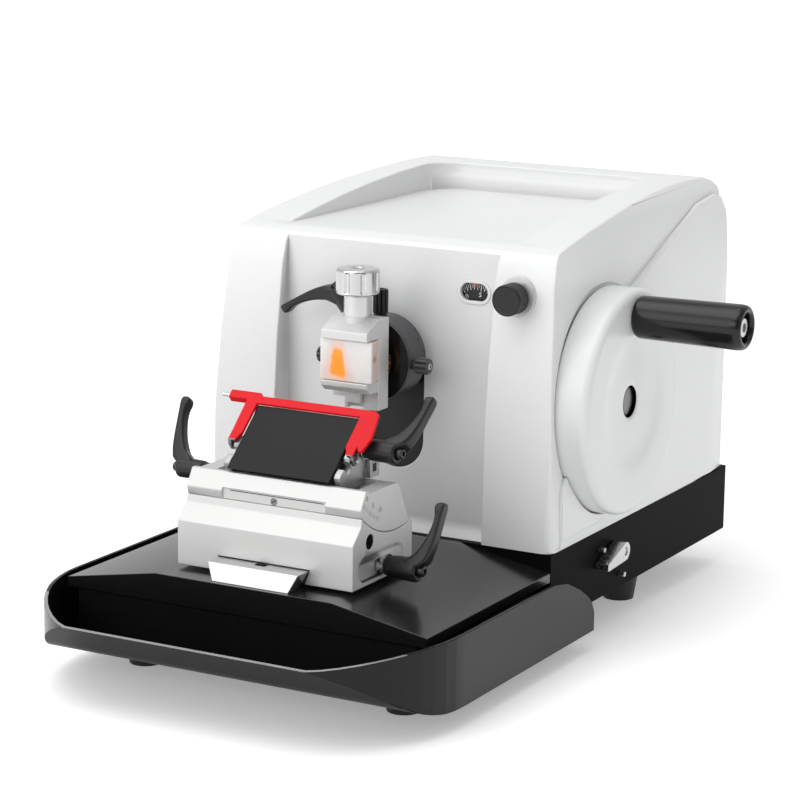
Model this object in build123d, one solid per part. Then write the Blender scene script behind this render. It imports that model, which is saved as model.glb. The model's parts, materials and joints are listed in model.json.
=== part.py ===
from build123d import *
import math
import os

# Rotary microtome: fixed frame with a vertical specimen slide driven by a crank,
# a horizontal feed quill carrying the orientable clamp, and a blade holder on a rail.
# Design frame: X right, Y back, Z up, millimetres, z = 0 is the bench.

# ---------------------------------------------------------------- driving sizes
OFF = (-38.0, -30.5, 0.0)        # design frame -> row frame (middle of the bounding box)
XC = 4.2                         # common centre plane of head, slot and blade holder
HALF_W = 134.0                   # half width of cover and base
BACK_Y = 304.0
DECK_Z = 75.0                    # top of the base casting
BASE_Z = 26.0                    # underside of the base casting
WHEEL = (87.2, 165.3)            # handwheel axis (y, z)
WHEEL_R = 77.0
POCKET_R = 78.8
HANDLE = (88.0, 224.5)           # handle axis (y, z)
STROKE = 60.0                    # vertical stroke of the specimen slide
CRANK_R = STROKE / 2
HEAD_Z = 196.0                   # feed axis height at the top of the stroke
QUILL_R = 19.5
SLOT_R = 21.2
HEAD_R = 28.8
FEED = 28.0                      # horizontal feed travel
WALL = 3.0
RUN = 0.05                       # radial running clearance
PLATE_TOP = (-97.2, 175.4)       # top edge of the pressure plate (y, z)
PLATE_ANG = math.radians(41.3)
PLATE_L = 51.8
GEAR_M = 1.375
PINION_T, DIAL_T = 16, 44

nodes = {}


# ---------------------------------------------------------------- helpers
def ccw(pts):
    """Same polygon, always counter-clockwise."""
    area = sum(p[0] * q[1] - q[0] * p[1] for p, q in zip(pts, pts[1:] + pts[:1]))
    return list(pts) if area > 0 else list(reversed(pts))


def px(pts, x0, x1):
    """Polygon in (y, z) extruded along X."""
    return extrude(Plane.YZ.offset(x0) * Polygon(*ccw(pts), align=None), amount=x1 - x0)


def py(pts, y0, y1):
    """Polygon in (x, z) extruded along Y."""
    pl = Plane(origin=(0, y1, 0), x_dir=(1, 0, 0), z_dir=(0, -1, 0))
    return extrude(pl * Polygon(*ccw(pts), align=None), amount=y1 - y0)


def pz(pts, z0, z1):
    """Polygon in (x, y) extruded along Z."""
    return extrude(Plane.XY.offset(z0) * Polygon(*ccw(pts), align=None), amount=z1 - z0)


def cx(x0, x1, y, z, r, r2=None):
    h = abs(x1 - x0)
    c = Cylinder(r, h) if r2 is None else Cone(r, r2, h)
    return Pos((x0 + x1) / 2, y, z) * Rot(0, 90, 0) * c


def cy(y0, y1, x, z, r, r2=None):
    h = abs(y1 - y0)
    c = Cylinder(r, h) if r2 is None else Cone(r, r2, h)
    return Pos(x, (y0 + y1) / 2, z) * Rot(-90, 0, 0) * c


def cz(z0, z1, x, y, r, r2=None):
    h = abs(z1 - z0)
    c = Cylinder(r, h) if r2 is None else Cone(r, r2, h)
    return Pos(x, y, (z0 + z1) / 2) * c


def bx(x0, x1, y0, y1, z0, z1):
    return Pos((x0 + x1) / 2, (y0 + y1) / 2, (z0 + z1) / 2) * Box(x1 - x0, y1 - y0, z1 - z0)


def stadium(x, z, half_w, half_h, y0, y1, flat=True):
    """Stadium along X (flat) or along Z, extruded along Y."""
    if flat:
        s = bx(x - half_w + half_h, x + half_w - half_h, y0, y1, z - half_h, z + half_h)
        return s + cy(y0, y1, x - half_w + half_h, z, half_h) + cy(y0, y1, x + half_w - half_h, z, half_h)
    s = bx(x - half_w, x + half_w, y0, y1, z - half_h + half_w, z + half_h - half_w)
    return s + cy(y0, y1, x, z - half_h + half_w, half_w) + cy(y0, y1, x, z + half_h - half_w, half_w)


def cut(a, *bs):
    for b in bs:
        a = a - b
    return a


def add(name, *shapes):
    nodes[name] = list(shapes)


def rev_x(pts, y, z):
    """Revolve a profile of (x, r) about the axis parallel to X through (y, z)."""
    prof = Plane.XY * Polygon(*ccw(pts), align=None)
    return Pos(0, y, z) * revolve(prof, Axis.X)


def try_fillet(shape, edges, r):
    for k in (1.0, 0.7, 0.4):
        try:
            f = fillet(edges, r * k)
            if f.is_valid:
                return f
        except Exception:
            pass
    return shape


def involute_gear(teeth, m, phase, backlash=0.22, add_k=0.85, ded_k=1.2):
    """Closed polygon of an external gear, one tooth centred on angle phase."""
    pa = math.radians(20)
    rp = m * teeth / 2
    rb, ra, rf = rp * math.cos(pa), rp + add_k * m, rp - ded_k * m
    inv = lambda a: math.tan(a) - a
    half = math.pi / (2 * teeth) - backlash / (2 * rp)
    r0 = max(rb, rf + 0.05)
    rs = [r0 + (ra - r0) * k / 4 for k in range(5)]
    flank = [(rf, None)] + [(r, None) for r in rs]
    pts = []
    for t in range(teeth):
        c = phase + 2 * math.pi * t / teeth
        side = []
        for r in rs:
            a = math.acos(min(1.0, rb / r))
            side.append((r, half + inv(pa) - inv(a)))
        root = (rf, side[0][1] + 0.25 * (math.pi / teeth - side[0][1]))
        left = [root] + side
        for r, w in left:
            pts.append((r * math.cos(c - w), r * math.sin(c - w)))
        for r, w in reversed(left):
            pts.append((r * math.cos(c + w), r * math.sin(c + w)))
    return pts


# ---------------------------------------------------------------- base casting
base = bx(-HALF_W, HALF_W, 0, BACK_Y, BASE_Z, DECK_Z)
base = cut(base, bx(-126, 126, 9, 296, BASE_Z + 5, 65))
front_blk = bx(-118, 118, -168, 0.0, BASE_Z, 56.0)
front_blk = cut(front_blk, bx(-110, 110, -160, -9, BASE_Z + 5, 48))
runner_l = bx(-123.5, -118, -165, -6, 44, 47)
runner_r = bx(118, 123.5, -165, -6, 44, 47)
base = base + front_blk + runner_l + runner_r
FEET = [(107, 172), (-107, 172), (98, -135), (-98, -135)]
for fx, fy in FEET:
    base = base + cz(BASE_Z, 66 if fy > 0 else 50, fx, fy, 11)
    base = base - cz(BASE_Z - 1, 46, fx, fy, 4.05)
for rx in (-60, 0, 60):
    base = base + bx(rx - 3, rx + 3, 5, 298, 45, 66)
base = base - cx(127.5, 135, 99.3, 56.3, 2.95)
add("base_casting", base)

apron = py([(-HALF_W, 56), (-HALF_W, 62.8), (-65.5, DECK_Z), (65.5, DECK_Z), (HALF_W, 62.8), (HALF_W, 56)],
           -172.7, -0.05)
add("apron_plate", apron)

add("rubber_feet", *[cz(0, BASE_Z, fx, fy, 11.0, 15.0) + cz(BASE_Z - 0.5, 44, fx, fy, 4.0) for fx, fy in FEET])

# ---------------------------------------------------------------- cover shell
front = [(0, 75), (2.2, 158), (3.4, 175), (5.4, 200), (8.9, 224), (12.2, 249), (17.0, 264.5), (20.0, 269.5), (24, 273)]
top = [(40, 276.3), (73, 281.5), (110, 286.3), (151, 290.5), (195, 293.6), (236, 295.3), (265, 295.1), (288, 294.2), (297, 291.5),
       (302, 286.5), (304, 278)]
prof = front + top + [(304, 75)]
outer_a = px(prof, -140, 140)
outer_b = py([(-134, 74), (134, 74), (134, 80), (132.2, 125), (129.8, 180), (127.6, 225), (125.2, 262), (123.5, 275), (121, 284), (117.5, 290),
              (112, 296.5), (-112, 296.5), (-117.5, 290), (-121, 284), (-123.5, 275), (-125.2, 262), (-127.6, 225), (-129.8, 180),
              (-132.2, 125), (-134, 80)], -5, 310)
outer_c = pz([(-134, 7), (-132, 2.2), (-127, 0), (127, 0), (132, 2.2), (134, 7), (134, 240), (131, 290), (124, 300), (115, 304),
              (-115, 304), (-124, 300), (-131, 290), (-134, 240)], 74, 300)
outer = outer_a & outer_b & outer_c
bulge_yz = [(13, 76), (13, 107), (15, 118), (28, 135), (60, 175), (100, 212), (133, 237), (166, 249), (196, 261), (235, 274), (250, 279),
            (285, 283), (296, 280), (301.5, 270), (303.5, 240), (304, 76)]
for sgn in (1, -1):
    b = px(bulge_yz, min(sgn * 100, sgn * 137.5), max(sgn * 100, sgn * 137.5))
    b = b & py([(sgn * 90, 75), (sgn * 134.2, 75), (sgn * 136.6, 95), (sgn * 137.2, 130), (sgn * 136.4, 180), (sgn * 133.5, 225), (sgn * 129.5, 258),
                (sgn * 124.8, 284), (sgn * 90, 284)], 0, 306)
    b = b & pz([(sgn * 90, 5), (sgn * 134, 5), (sgn * 135.0, 14), (sgn * 137.4, 40), (sgn * 137.4, 180), (sgn * 135.4, 260), (sgn * 132, 296), (sgn * 126, 304),
                (sgn * 90, 304)], 70, 300)
    outer = outer + b
recess = px([(-5, 73), (5, 73), (6.5, 75.8), (20, 84), (20, 270.5), (-5, 270.5)], -82, 81.5)
dish = bx(-90, 88, 27, 229, 275, 300) + bx(-65, 63, 220, 254, 275, 300) + cz(275, 300, -65, 229, 25) + cz(275, 300, 63, 229, 25)
pocket = cx(126, 145, WHEEL[0], WHEEL[1], POCKET_R)
inner = bx(-131, 131, 23.2, 298, 70, 272)
pillar_l = px([(5, 70), (6.2, 158), (9.4, 200), (13, 224), (16.2, 249), (24, 258), (24, 70)], -128, -86)
pillar_r = px([(5, 70), (6.2, 158), (9.4, 200), (13, 224), (16.2, 249), (24, 258), (24, 70)], 85.5, 128)
inner = inner + pillar_l + pillar_r
inner = inner & py([(-130.4, 69), (130.4, 69), (130.4, 76), (128.6, 125), (126.0, 180), (123.8, 225), (121.2, 262), (119.5, 268), (112, 271.3),
                    (-112, 271.3), (-119.5, 268), (-121.2, 262), (-123.8, 225), (-126.0, 180), (-128.6, 125), (-130.4, 76)], 0, 300)
inner = inner & px([(3, 69), (3, 262), (24, 268), (60, 271.3), (280, 271.3), (292, 262), (299, 240), (299, 69)], -135, 135)
inner = inner - cx(122.5, 146, WHEEL[0], WHEEL[1], POCKET_R + 3)
cover = outer - recess - dish - pocket - inner
slot_c = HEAD_Z - STROKE / 2
cover = cover - stadium(XC, slot_c, SLOT_R, SLOT_R + STROKE / 2, 15, 26, flat=False)
WIN = (63.0, 242.5)
KNOB = (99.9, 244.1)
cover = cover - stadium(WIN[0], WIN[1], 11.4, 7.1, 15, 30)
cover = cover - cy(-2, 30, KNOB[0], KNOB[1], 6.0)
cover = cover - cx(118, 130, WHEEL[0], WHEEL[1], 14.0)
COARSE = (105.0, 150.0)
cover = cover - cx(-142, -120, COARSE[0], COARSE[1], 6.03)
add("cover_shell", cover)

# bezel of the thickness window, pointer
bez = stadium(WIN[0], WIN[1], 12.6, 8.3, 19.3, 20.0) + stadium(WIN[0], WIN[1], 11.35, 7.05, 20.0, 22.6)
bez = bez - stadium(WIN[0], WIN[1], 10.3, 6.0, 18, 24)
bez = bez + py([(WIN[0] - 1.6, WIN[1] + 6.2), (WIN[0] + 1.6, WIN[1] + 6.2), (WIN[0], WIN[1] + 2.6)], 21.6, 22.4)
add("scale_bezel", bez)

# ---------------------------------------------------------------- thickness dial drive
cd = GEAR_M * (PINION_T + DIAL_T) / 2
dz = math.sqrt(cd ** 2 - (KNOB[0] - WIN[0]) ** 2)
DIAL = (WIN[0], KNOB[1] - dz)
ang = math.atan2(KNOB[1] - DIAL[1], KNOB[0] - DIAL[0])
gpl = Plane(origin=(0, 36, 0), x_dir=(1, 0, 0), z_dir=(0, -1, 0))
gear_pts = [(DIAL[0] + u, DIAL[1] + v) for u, v in involute_gear(DIAL_T, GEAR_M, ang)]
pin_pts = [(KNOB[0] + u, KNOB[1] + v) for u, v in involute_gear(PINION_T, GEAR_M, ang + math.pi + math.pi / PINION_T)]
dial_gear = extrude(gpl * Polygon(*ccw(gear_pts), align=None), amount=5)       # y 31..36
pinion = extrude(gpl * Polygon(*ccw(pin_pts), align=None), amount=5)
add("scale_dial", cy(24.0, 26.0, DIAL[0], DIAL[1], 25.5) + cy(26.0, 31.0, DIAL[0], DIAL[1], 8.0) + dial_gear
    + cy(36.0, 52.0, DIAL[0], DIAL[1], 3.97))
LEAN = math.atan(0.132)          # the pillar face leans back at the knob
FACE_Y = 8.9 + (KNOB[1] - 224) * 0.132
knob = cy(-6.6, 7.1, KNOB[0], KNOB[1], 11.2)
knob = knob - cy(0.0, 8.0, KNOB[0], KNOB[1], 4.0)
add("thickness_knob", knob)
add("knob_shaft", cy(0.0, 31.0, KNOB[0], KNOB[1], 3.97) + pinion + cy(36.0, 52.0, KNOB[0], KNOB[1], 3.97))
flange_pl = Plane(origin=(KNOB[0], FACE_Y - 0.02, KNOB[1]), x_dir=(1, 0, 0), z_dir=(0, -math.cos(LEAN), math.sin(LEAN)))
collar = flange_pl * (Pos(0, 0, 1.1) * Cylinder(13.4, 2.2)) + cy(10.0, 22.0, KNOB[0], KNOB[1], 5.9)
collar = collar - cy(0, 24, KNOB[0], KNOB[1], 4.05)
add("knob_collar", collar)
bracket = bx(43, 118, 42, 46, 190, 266)
bracket = bracket + bx(43, 118, 46, 50, 190, 266)
bracket = bracket - cy(40, 54, DIAL[0], DIAL[1], 4.05) - cy(40, 54, KNOB[0], KNOB[1], 4.05)
bracket = bracket + cy(9.4, 43, 114, 196, 3.5) + cy(23.2, 43, 84, 258, 3.5) + cy(23.2, 43, 47.5, 262, 3.5)
add("dial_bracket", bracket)

# ---------------------------------------------------------------- handwheel and crank
WY, WZ = WHEEL
wheel_prof = [(147, 10.02), (131, 10.02), (131, 24), (143, 26), (146.0, 34), (146.5, 66), (143.0, 71.0), (127.2, 72.0), (127.2, 76.6),
              (128.4, 77.8), (148.6, 77.8), (150.9, 76.8), (152.4, 75.2), (153, 73), (153, 47), (151.6, 42), (150.3, 34), (149.6, 24), (149.5, 14),
              (149.5, 11.2), (147, 10.8)]
wheel = rev_x(wheel_prof, WY, WZ)
wheel = wheel + cx(143, 151.4, HANDLE[0], HANDLE[1], 14.0)
wheel = wheel + cx(150.0, 152.9, HANDLE[0], HANDLE[1], 13.0)
wheel = wheel - cx(130, 160, HANDLE[0], HANDLE[1], 5.0)
add("handwheel", wheel)
shaft = cx(49.0, 146.8, WY, WZ, 10.0)
add("main_shaft", shaft)
add("hub_cap", cx(147.0, 148.4, WY, WZ, 10.7))
crank = cx(49.0, 59.0, WY, WZ, 42.0)
cw = (cx(58.5, 63.5, WY, WZ, 41.5) - cx(58, 64, WY, WZ, 21)) & bx(58, 64, WY - 50, WY + 50, WZ - 50, WZ - 4)
crank = crank + cw + cx(39.2, 50.0, WY, WZ + CRANK_R, 5.0)
crank = crank - cx(48, 60, WY, WZ, 10.02)
add("crank_disc", crank)
add("crank_roller", cx(39.6, 48.0, WY, WZ + CRANK_R, 11.0) - cx(39, 49, WY, WZ + CRANK_R, 5.03))
ped = bx(66, 120, WY - 27, WY + 27, DECK_Z, 193)
ped = ped + bx(66, 120, WY - 45, WY + 45, DECK_Z, 83)
ped = ped - cx(60, 125, WY, WZ, 13) - cx(65, 78, WY, WZ, 21.03) - cx(108, 121, WY, WZ, 21.03)
add("wheel_pedestal", ped)
brg = []
for x0 in (66.2, 107.8 + 0.4):
    b = cx(x0, x0 + 11.6, WY, WZ, 21.0) - cx(x0 - 1, x0 + 13, WY, WZ, 10.03)
    b = b - (cx(x0 - 1, x0 + 0.8, WY, WZ, 17.5) - cx(x0 - 1, x0 + 0.8, WY, WZ, 13.5))
    brg.append(b)
add("shaft_bearings", *brg)
hy, hz = HANDLE
grip = rev_x([(153.4, 5.06), (153.4, 12.6), (154.6, 14.2), (156.5, 14.6), (192, 15.1), (226, 15.6), (229.6, 15.2), (231.4, 13.9), (232, 12.4),
              (231.6, 10.6), (229.0, 9.4), (226.4, 9.0), (226.2, 5.06)], hy, hz)
add("handle_grip", grip)
add("handle_spindle", cx(143.5, 226.6, hy, hz, 4.98) + cx(226.6, 229.4, hy, hz, 6.6) - cx(227.6, 230, hy, hz, 2.6))

# ---------------------------------------------------------------- guide column and specimen slide
col = bx(-74, -36, 52, 138, DECK_Z, 262)
col = col - bx(-66, -44, 60, 130, DECK_Z - 1, 254)
col = col + bx(-66, -44, 97, 113, 140, 160)
col = col - cx(-76, -62, COARSE[0], COARSE[1], 6.05)
add("guide_column", col)
add("guide_rails", bx(-36, -20, 58, 68, 80, 258), bx(-36, -20, 122, 132, 80, 258))
car = bx(-26, 34.2, 45, 150, 166, 226)
car = cut(car, bx(-30, -19.9, 57.94, 68.06, 160, 230), bx(-30, -19.9, 121.94, 132.06, 160, 230))
car = cut(car, cy(40, 118, XC, HEAD_Z, QUILL_R + RUN), cy(110, 155, XC, HEAD_Z, 6.0 + RUN))
PAWL = (XC + 24.0, HEAD_Z + 26.5)
car = car + cy(149.0, 161.5, PAWL[0], PAWL[1], 2.5)
add("specimen_slide", car)
yoke = bx(34.2, 38.4, 44, 131, 176, 214.6)
yoke = yoke - bx(30, 40, WY - 41.6, WY + 41.6, WZ + CRANK_R - 11.3, WZ + CRANK_R + 11.3)
add("yoke_plate", yoke)
sh = bx(XC - 24, XC + 24, 25.6, 27.4, 216.6, 268) + bx(XC - 18, XC + 18, 27.4, 45.0, 217.5, 220.5)
add("slot_shutter", sh)
add("slot_curtain", bx(XC - 23.5, XC + 23.5, 24.0, 25.2, 100, 176.2))
helix = Helix(pitch=12.0, height=84.0, radius=9.0)
wire_end = helix @ 0
tang = helix % 0
spring = sweep(Plane(origin=wire_end, z_dir=tang) * Circle(1.3), path=helix)
add("balance_spring", Pos(XC, 132, 78.4) * spring)

# ---------------------------------------------------------------- feed quill and screw
quill = cy(9.0, 115.0, XC, HEAD_Z, QUILL_R)
quill = quill - cy(50, 101, XC, HEAD_Z, 9.0) - cy(100.5, 116, XC, HEAD_Z, 12.02)
add("feed_quill", quill)
add("feed_nut", cy(101, 115, XC, HEAD_Z, 12.0) - cy(100, 116, XC, HEAD_Z, 6.0 + RUN))
fs = cy(56, 118.2, XC, HEAD_Z, 5.98) + cy(118.2, 150, XC, HEAD_Z, 5.98) + cy(151, 153, XC, HEAD_Z, 9) + cy(150, 180, XC, HEAD_Z, 5.0)
add("feed_screw", fs)
NR = 40
rp = []
for i in range(NR):
    a0 = 2 * math.pi * i / NR
    rp.append((XC + 28.0 * math.cos(a0), HEAD_Z + 28.0 * math.sin(a0)))
    rp.append((XC + 26.2 * math.cos(a0 + 0.02), HEAD_Z + 26.2 * math.sin(a0 + 0.02)))
rat = py(rp, 154, 160) - cy(150, 165, XC, HEAD_Z, 5.03)
add("ratchet_wheel", rat)
pawl = cy(154.5, 159.5, PAWL[0], PAWL[1], 5.0)
pawl = pawl + py([(PAWL[0] - 3.5, PAWL[1] + 3.4), (PAWL[0] + 3.0, PAWL[1] + 3.4), (PAWL[0] - 2, PAWL[1] + 4.6), (PAWL[0] - 20.5, HEAD_Z + 29.6),
                  (PAWL[0] - 21.0, HEAD_Z + 28.4), (PAWL[0] - 4.6, PAWL[1] - 1.0)], 154.5, 159.5)
pawl = pawl - cy(154, 160, PAWL[0], PAWL[1], 2.55)
add("feed_pawl", pawl)
coarse = cx(-156, -141, COARSE[0], COARSE[1], 32) - cx(-157, -151, COARSE[0], COARSE[1], 24) + cx(-152, -63.5, COARSE[0], COARSE[1], 5.96)
coarse = coarse + cx(-98, -88, COARSE[0], COARSE[1], 16) + cx(-154.5, -150, COARSE[0], COARSE[1], 10)
add("coarse_wheel", coarse - cx(-152.5, -145, COARSE[0], COARSE[1] + 17.5, 4.0))
# ---------------------------------------------------------------- head
head = cy(-12.5, 9.0, XC, HEAD_Z, HEAD_R)
BALL = (XC, -3.0, HEAD_Z)
head = head - cy(-13, 8.4, XC, HEAD_Z, 14.0)
SIDE_Y, SIDE_Z = -8.4, 194.5
head = head - cx(-40, 50, SIDE_Y, SIDE_Z, 3.05)
head = head - cz(HEAD_Z + 10, HEAD_Z + 40, XC, -3.0, 3.05)
LEV_U = (-0.6, 0.0, 0.8)
lp = (XC + LEV_U[0] * 27.0, -3.0, HEAD_Z + LEV_U[2] * 27.0)
boss = Plane(origin=lp, z_dir=LEV_U) * Pos(0, 0, 4.0) * Cylinder(6.6, 8.0)
bore = Plane(origin=lp, z_dir=LEV_U) * Pos(0, 0, 0) * Cylinder(3.05, 40.0)
head = (head + boss) - bore - cy(-13, 8.4, XC, HEAD_Z, 14.0)
add("head_housing", head)
disc = cy(-15.0, -12.5, XC, HEAD_Z, HEAD_R - 0.2) - cy(-16, -12, XC, HEAD_Z, 11.0)
add("head_disc", disc)
ring = cy(-6.5, 0.5, XC, HEAD_Z, 13.2) - cy(-7, 1, XC, HEAD_Z, 10.4)
ring = ring + cx(XC + 11.8, XC + 13.8, -3.0, HEAD_Z, 2.2) + cx(XC - 13.8, XC - 11.8, -3.0, HEAD_Z, 2.2)
add("gimbal_ring", ring)
ball = Pos(*BALL) * Sphere(10.0)
flange = cy(-22.8, -18.6, XC, HEAD_Z, 17.4) + cy(-18.8, -8.0, XC, HEAD_Z, 7.0)
add("clamp_flange", flange + ball)
KNR = 5.4


def knurled(r, h, n=10, depth=0.7):
    k = Cylinder(r, h)
    for i in range(n):
        a = 2 * math.pi * i / n
        k = k - Pos((r + depth * 0.6) * math.cos(a), (r + depth * 0.6) * math.sin(a), 0) * Cylinder(1.2, h + 2)
    return k


add("tilt_knob_top", Pos(XC, -3.0, HEAD_Z + 38.0) * knurled(5.0, 17.4) + cz(HEAD_Z + 26.0, HEAD_Z + 30.0, XC, -3.0, 3.0)
    + cz(HEAD_Z + 15.0, HEAD_Z + 28.0, XC, -3.0, 3.0))
side_r = Pos(XC + 36.0, SIDE_Y, SIDE_Z) * Rot(0, 90, 0) * knurled(5.6, 10.6) + cx(XC + 15.0, XC + 40.0, SIDE_Y, SIDE_Z, 3.0)
side_l = Pos(XC - 36.0, SIDE_Y, SIDE_Z) * Rot(0, 90, 0) * knurled(5.6, 10.6) + cx(XC - 40.0, XC - 15.0, SIDE_Y, SIDE_Z, 3.0)
add("tilt_knobs_side", side_r, side_l)

# ---------------------------------------------------------------- specimen clamp
cl = bx(XC - 17.6, XC + 17.6, -36.3, -22.8, 166.5, 228.2)
roof = px([(-36.3, 215.3), (-52.5, 215.3), (-52.5, 221.0), (-37.0, 228.2), (-36.3, 228.2)], XC - 17.6, XC + 17.6)
cl = cl + roof + cz(222.0, 229.4, XC, -34.4, 9.8)
# lower guide slot of the moving jaw and a foot step
cl = cl - bx(XC - 6.0, XC + 6.0, -40, -29.8, 160, 187.6)
cl = cl - bx(XC - 18, XC - 8.5, -40, -20, 160, 174) - cz(170, 232, XC, -34.4, 1.95)
cl = cl - bx(XC - 3.2, XC + 3.2, -40, -34.4, 186, 216)
add("clamp_body", cl)
neck = cz(229.6, 244.2, XC, -34.4, 8.9)
kn = cz(244.0, 261.2, XC, -34.4, 14.5)
for i in range(8):
    a = 2 * math.pi * (i + 0.5) / 8
    kn = kn - cz(243, 262, XC + 15.4 * math.cos(a), -34.4 + 15.4 * math.sin(a), 2.1)
kn = kn - cz(259.8, 262, XC, -34.4, 3.4)
add("clamp_knob", kn + neck + cz(173.0, 230, XC, -34.4, 1.8))
jaw = px([(-36.4, 186.9), (-52.3, 186.9), (-52.3, 183.6), (-47.0, 179.6), (-36.4, 179.6)], XC - 17.6, XC + 17.6)
jaw = jaw + bx(XC - 5.9, XC + 5.9, -40, -29.9, 171, 186.9)
add("clamp_jaw", jaw - cz(160, 190, XC, -34.4, 1.85))
cas = px([(-36.4, 187.2), (-36.4, 215.0), (-41.8, 215.0), (-42.4, 214.0), (-42.4, 188.2), (-41.8, 187.2)], XC - 20.0, XC + 20.0)
add("tissue_cassette", cas)
wax = bx(XC - 19.6, XC + 19.6, -49.6, -42.4, 187.6, 214.6)
tis_pts = [(XC - 10.4, 209.8), (XC - 3.6, 209.4), (XC - 1.6, 190.6), (XC - 13.4, 194.8)]
tis = py(tis_pts, -49.0, -44.0)
add("wax_block", wax - tis)
add("tissue_sample", py([(XC - 10.3, 209.7), (XC - 3.7, 209.3), (XC - 1.7, 190.75), (XC - 13.3, 194.85)], -48.95, -44.05))


# ---------------------------------------------------------------- clamping levers
def clamp_lever():
    """Hub axis +Z from z = 0, arm towards +X, bore for a 6 mm stud."""
    hub = Cone(6.6, 7.6, 23.0, align=(Align.CENTER, Align.CENTER, Align.MIN))
    low = [(0, 9.0), (9, 12.5), (19, 18.5), (31, 24.0), (38, 26.0)]
    top_ = [(41.5, 28.2), (42.3, 31.0), (40.0, 34.0), (35, 33.8), (24, 29.8), (12, 25.0), (0, 23.0)]
    plan = pz([(-2, -6.6), (8, -5.4), (22, -3.8), (38, -4.2), (41.2, -3.0), (42.4, 0), (41.2, 3.0), (38, 4.2), (22, 3.8), (8, 5.4), (-2, 6.6)], 0, 36)
    arm2 = py(low + top_, -7.0, 7.0) & plan
    s = hub + arm2
    return s + Cylinder(3.0, 26.0, align=(Align.CENTER, Align.CENTER, Align.MIN))


def lever_set(origin, axis_dir, arm_dir, stud_in):
    """Lever with its moulded-in stud reaching stud_in below the hub."""
    pl = Plane(origin=origin, x_dir=arm_dir, z_dir=axis_dir)
    return pl * (clamp_lever() + Pos(0, 0, -stud_in) * Cylinder(3.0, stud_in + 1.0, align=(Align.CENTER, Align.CENTER, Align.MIN)))


def unit(v):
    n = math.sqrt(sum(c * c for c in v))
    return tuple(c / n for c in v)


# head lock lever
o = (lp[0] + LEV_U[0] * 8.4, lp[1], lp[2] + LEV_U[2] * 8.4)
add("head_lock_lever", lever_set(o, LEV_U, (-0.8, 0.0, -0.6), 19.0))

# ---------------------------------------------------------------- rail and blade-holder base
rail = px([(-169.4, DECK_Z), (-165.8, 86.6), (-6, 86.6), (-6, DECK_Z)], XC - 33.6, XC + 33.6)
rail = rail & py([(XC - 28.2, DECK_Z), (XC + 28.2, DECK_Z), (XC + 33.6, 86.6), (XC - 33.6, 86.6)], -175, 0)
for ry in (-120, -60, -20):
    rail = rail - cz(81.5, 90, XC, ry, 5.5) - cz(70, 90, XC, ry, 3.0)
rail = rail - bx(XC - 4, XC + 4, -158, -140, 82, 90)
add("holder_rail", rail)
add("rail_screws", *[cz(81.5, 86.0, XC, ry, 5.3) + cz(DECK_Z, 81.6, XC, ry, 2.9) for ry in (-120, -60, -20)])

dY, dZ = -math.cos(PLATE_ANG), -math.sin(PLATE_ANG)
nY, nZ = -math.sin(PLATE_ANG), math.cos(PLATE_ANG)


def sn(s, n):
    return (PLATE_TOP[0] + s * dY + n * nY, PLATE_TOP[1] + s * dZ + n * nZ)


KE = sn(-0.8, -1.15)             # cutting edge, which is the clearance-angle axis
SEG_R = 69.2
CRADLE_R = 69.5
BX0, BX1 = XC - 65.35, XC + 65.35
kb = px([(-152.3, 77.2), (-152.3, 106.7), (-141.7, 116.7), (-140.6, 122.5), (-139.0, 128), (-77.4, 128), (-74.5, 104), (-74.5, 77.2)], BX0, BX1)
kb = kb - cx(BX0 - 1, BX1 + 1, KE[0], KE[1], CRADLE_R)
# dovetail way under the block
kb = kb - py([(XC - 28.2 - 0.55, DECK_Z - 1), (XC + 28.2 + 0.55, DECK_Z - 1), (XC + 34.2, 87.1), (XC - 34.2, 87.1)], -160, -70)
# stadium inset and stud bore on the right, round port
LL = (-111.8, 85.7)
kb = kb - (bx(BX1 - 4, BX1 + 1, -136.5, -104, 80.4, 91.0) + cx(BX1 - 4, BX1 + 1, -136.5, 85.7, 5.3) + cx(BX1 - 4, BX1 + 1, -104, 85.7, 5.3))
kb = kb - cx(44, BX1 + 1, LL[0], LL[1], 3.05) - cx(BX1 - 12, BX1 + 1, -130.3, 105.0, 4.9)
add("holder_base", kb)
add("base_clamp_lever", lever_set((BX1 + 6.4, LL[0], LL[1]), (1, 0, 0), unit((0, 0.17, 0.98)), 6.4 + 4.0 + 21.0)
    + cx(BX1 - 3.6, BX1 + 6.4, LL[0], LL[1], 5.0))

# tilting segment
arc_a = math.asin((-139.4 - KE[0]) / SEG_R)
seg_cyl = cx(BX0 + 0.2, BX1 - 0.2, KE[0], KE[1], SEG_R)
seg = px([(-135.3, 138.6), (-141.9, 127.5), (-141.3, 124.9), (-139.8, 121.0), (-139.8, 95), (-72, 95), (-79.6, 109.5), (-92.2, 134.2), (-96.1, 136.6),
          (-131.0, 136.6), (-131.6, 138.6)], BX0 + 0.2, BX1 - 0.2)
seg = seg & (seg_cyl + bx(BX0, BX1, -150, -120, 124, 150))
seg = seg - px([(-150, 110), (-150, 129.2), (-140.0, 129.2), (-139.9, 110)], XC - 38.2, XC + 38.6)
SL = (-112.0, 130.5)
seg = seg - cx(BX0 - 1, BX0 + 30, SL[0], SL[1], 3.05)
seg = seg - bx(XC - 52.7, XC + 53.0, -128.3, -99.7, 133.5, 140)
seg = seg - bx(XC - 48.5, XC + 53.0, -123.06, -104.94, 127, 134)
add("tilt_segment", seg)
add("segment_lever", lever_set((BX0 - 5.0, SL[0], SL[1]), (-1, 0, 0), unit((0, 0.55, 0.84)), 21.0))

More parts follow.
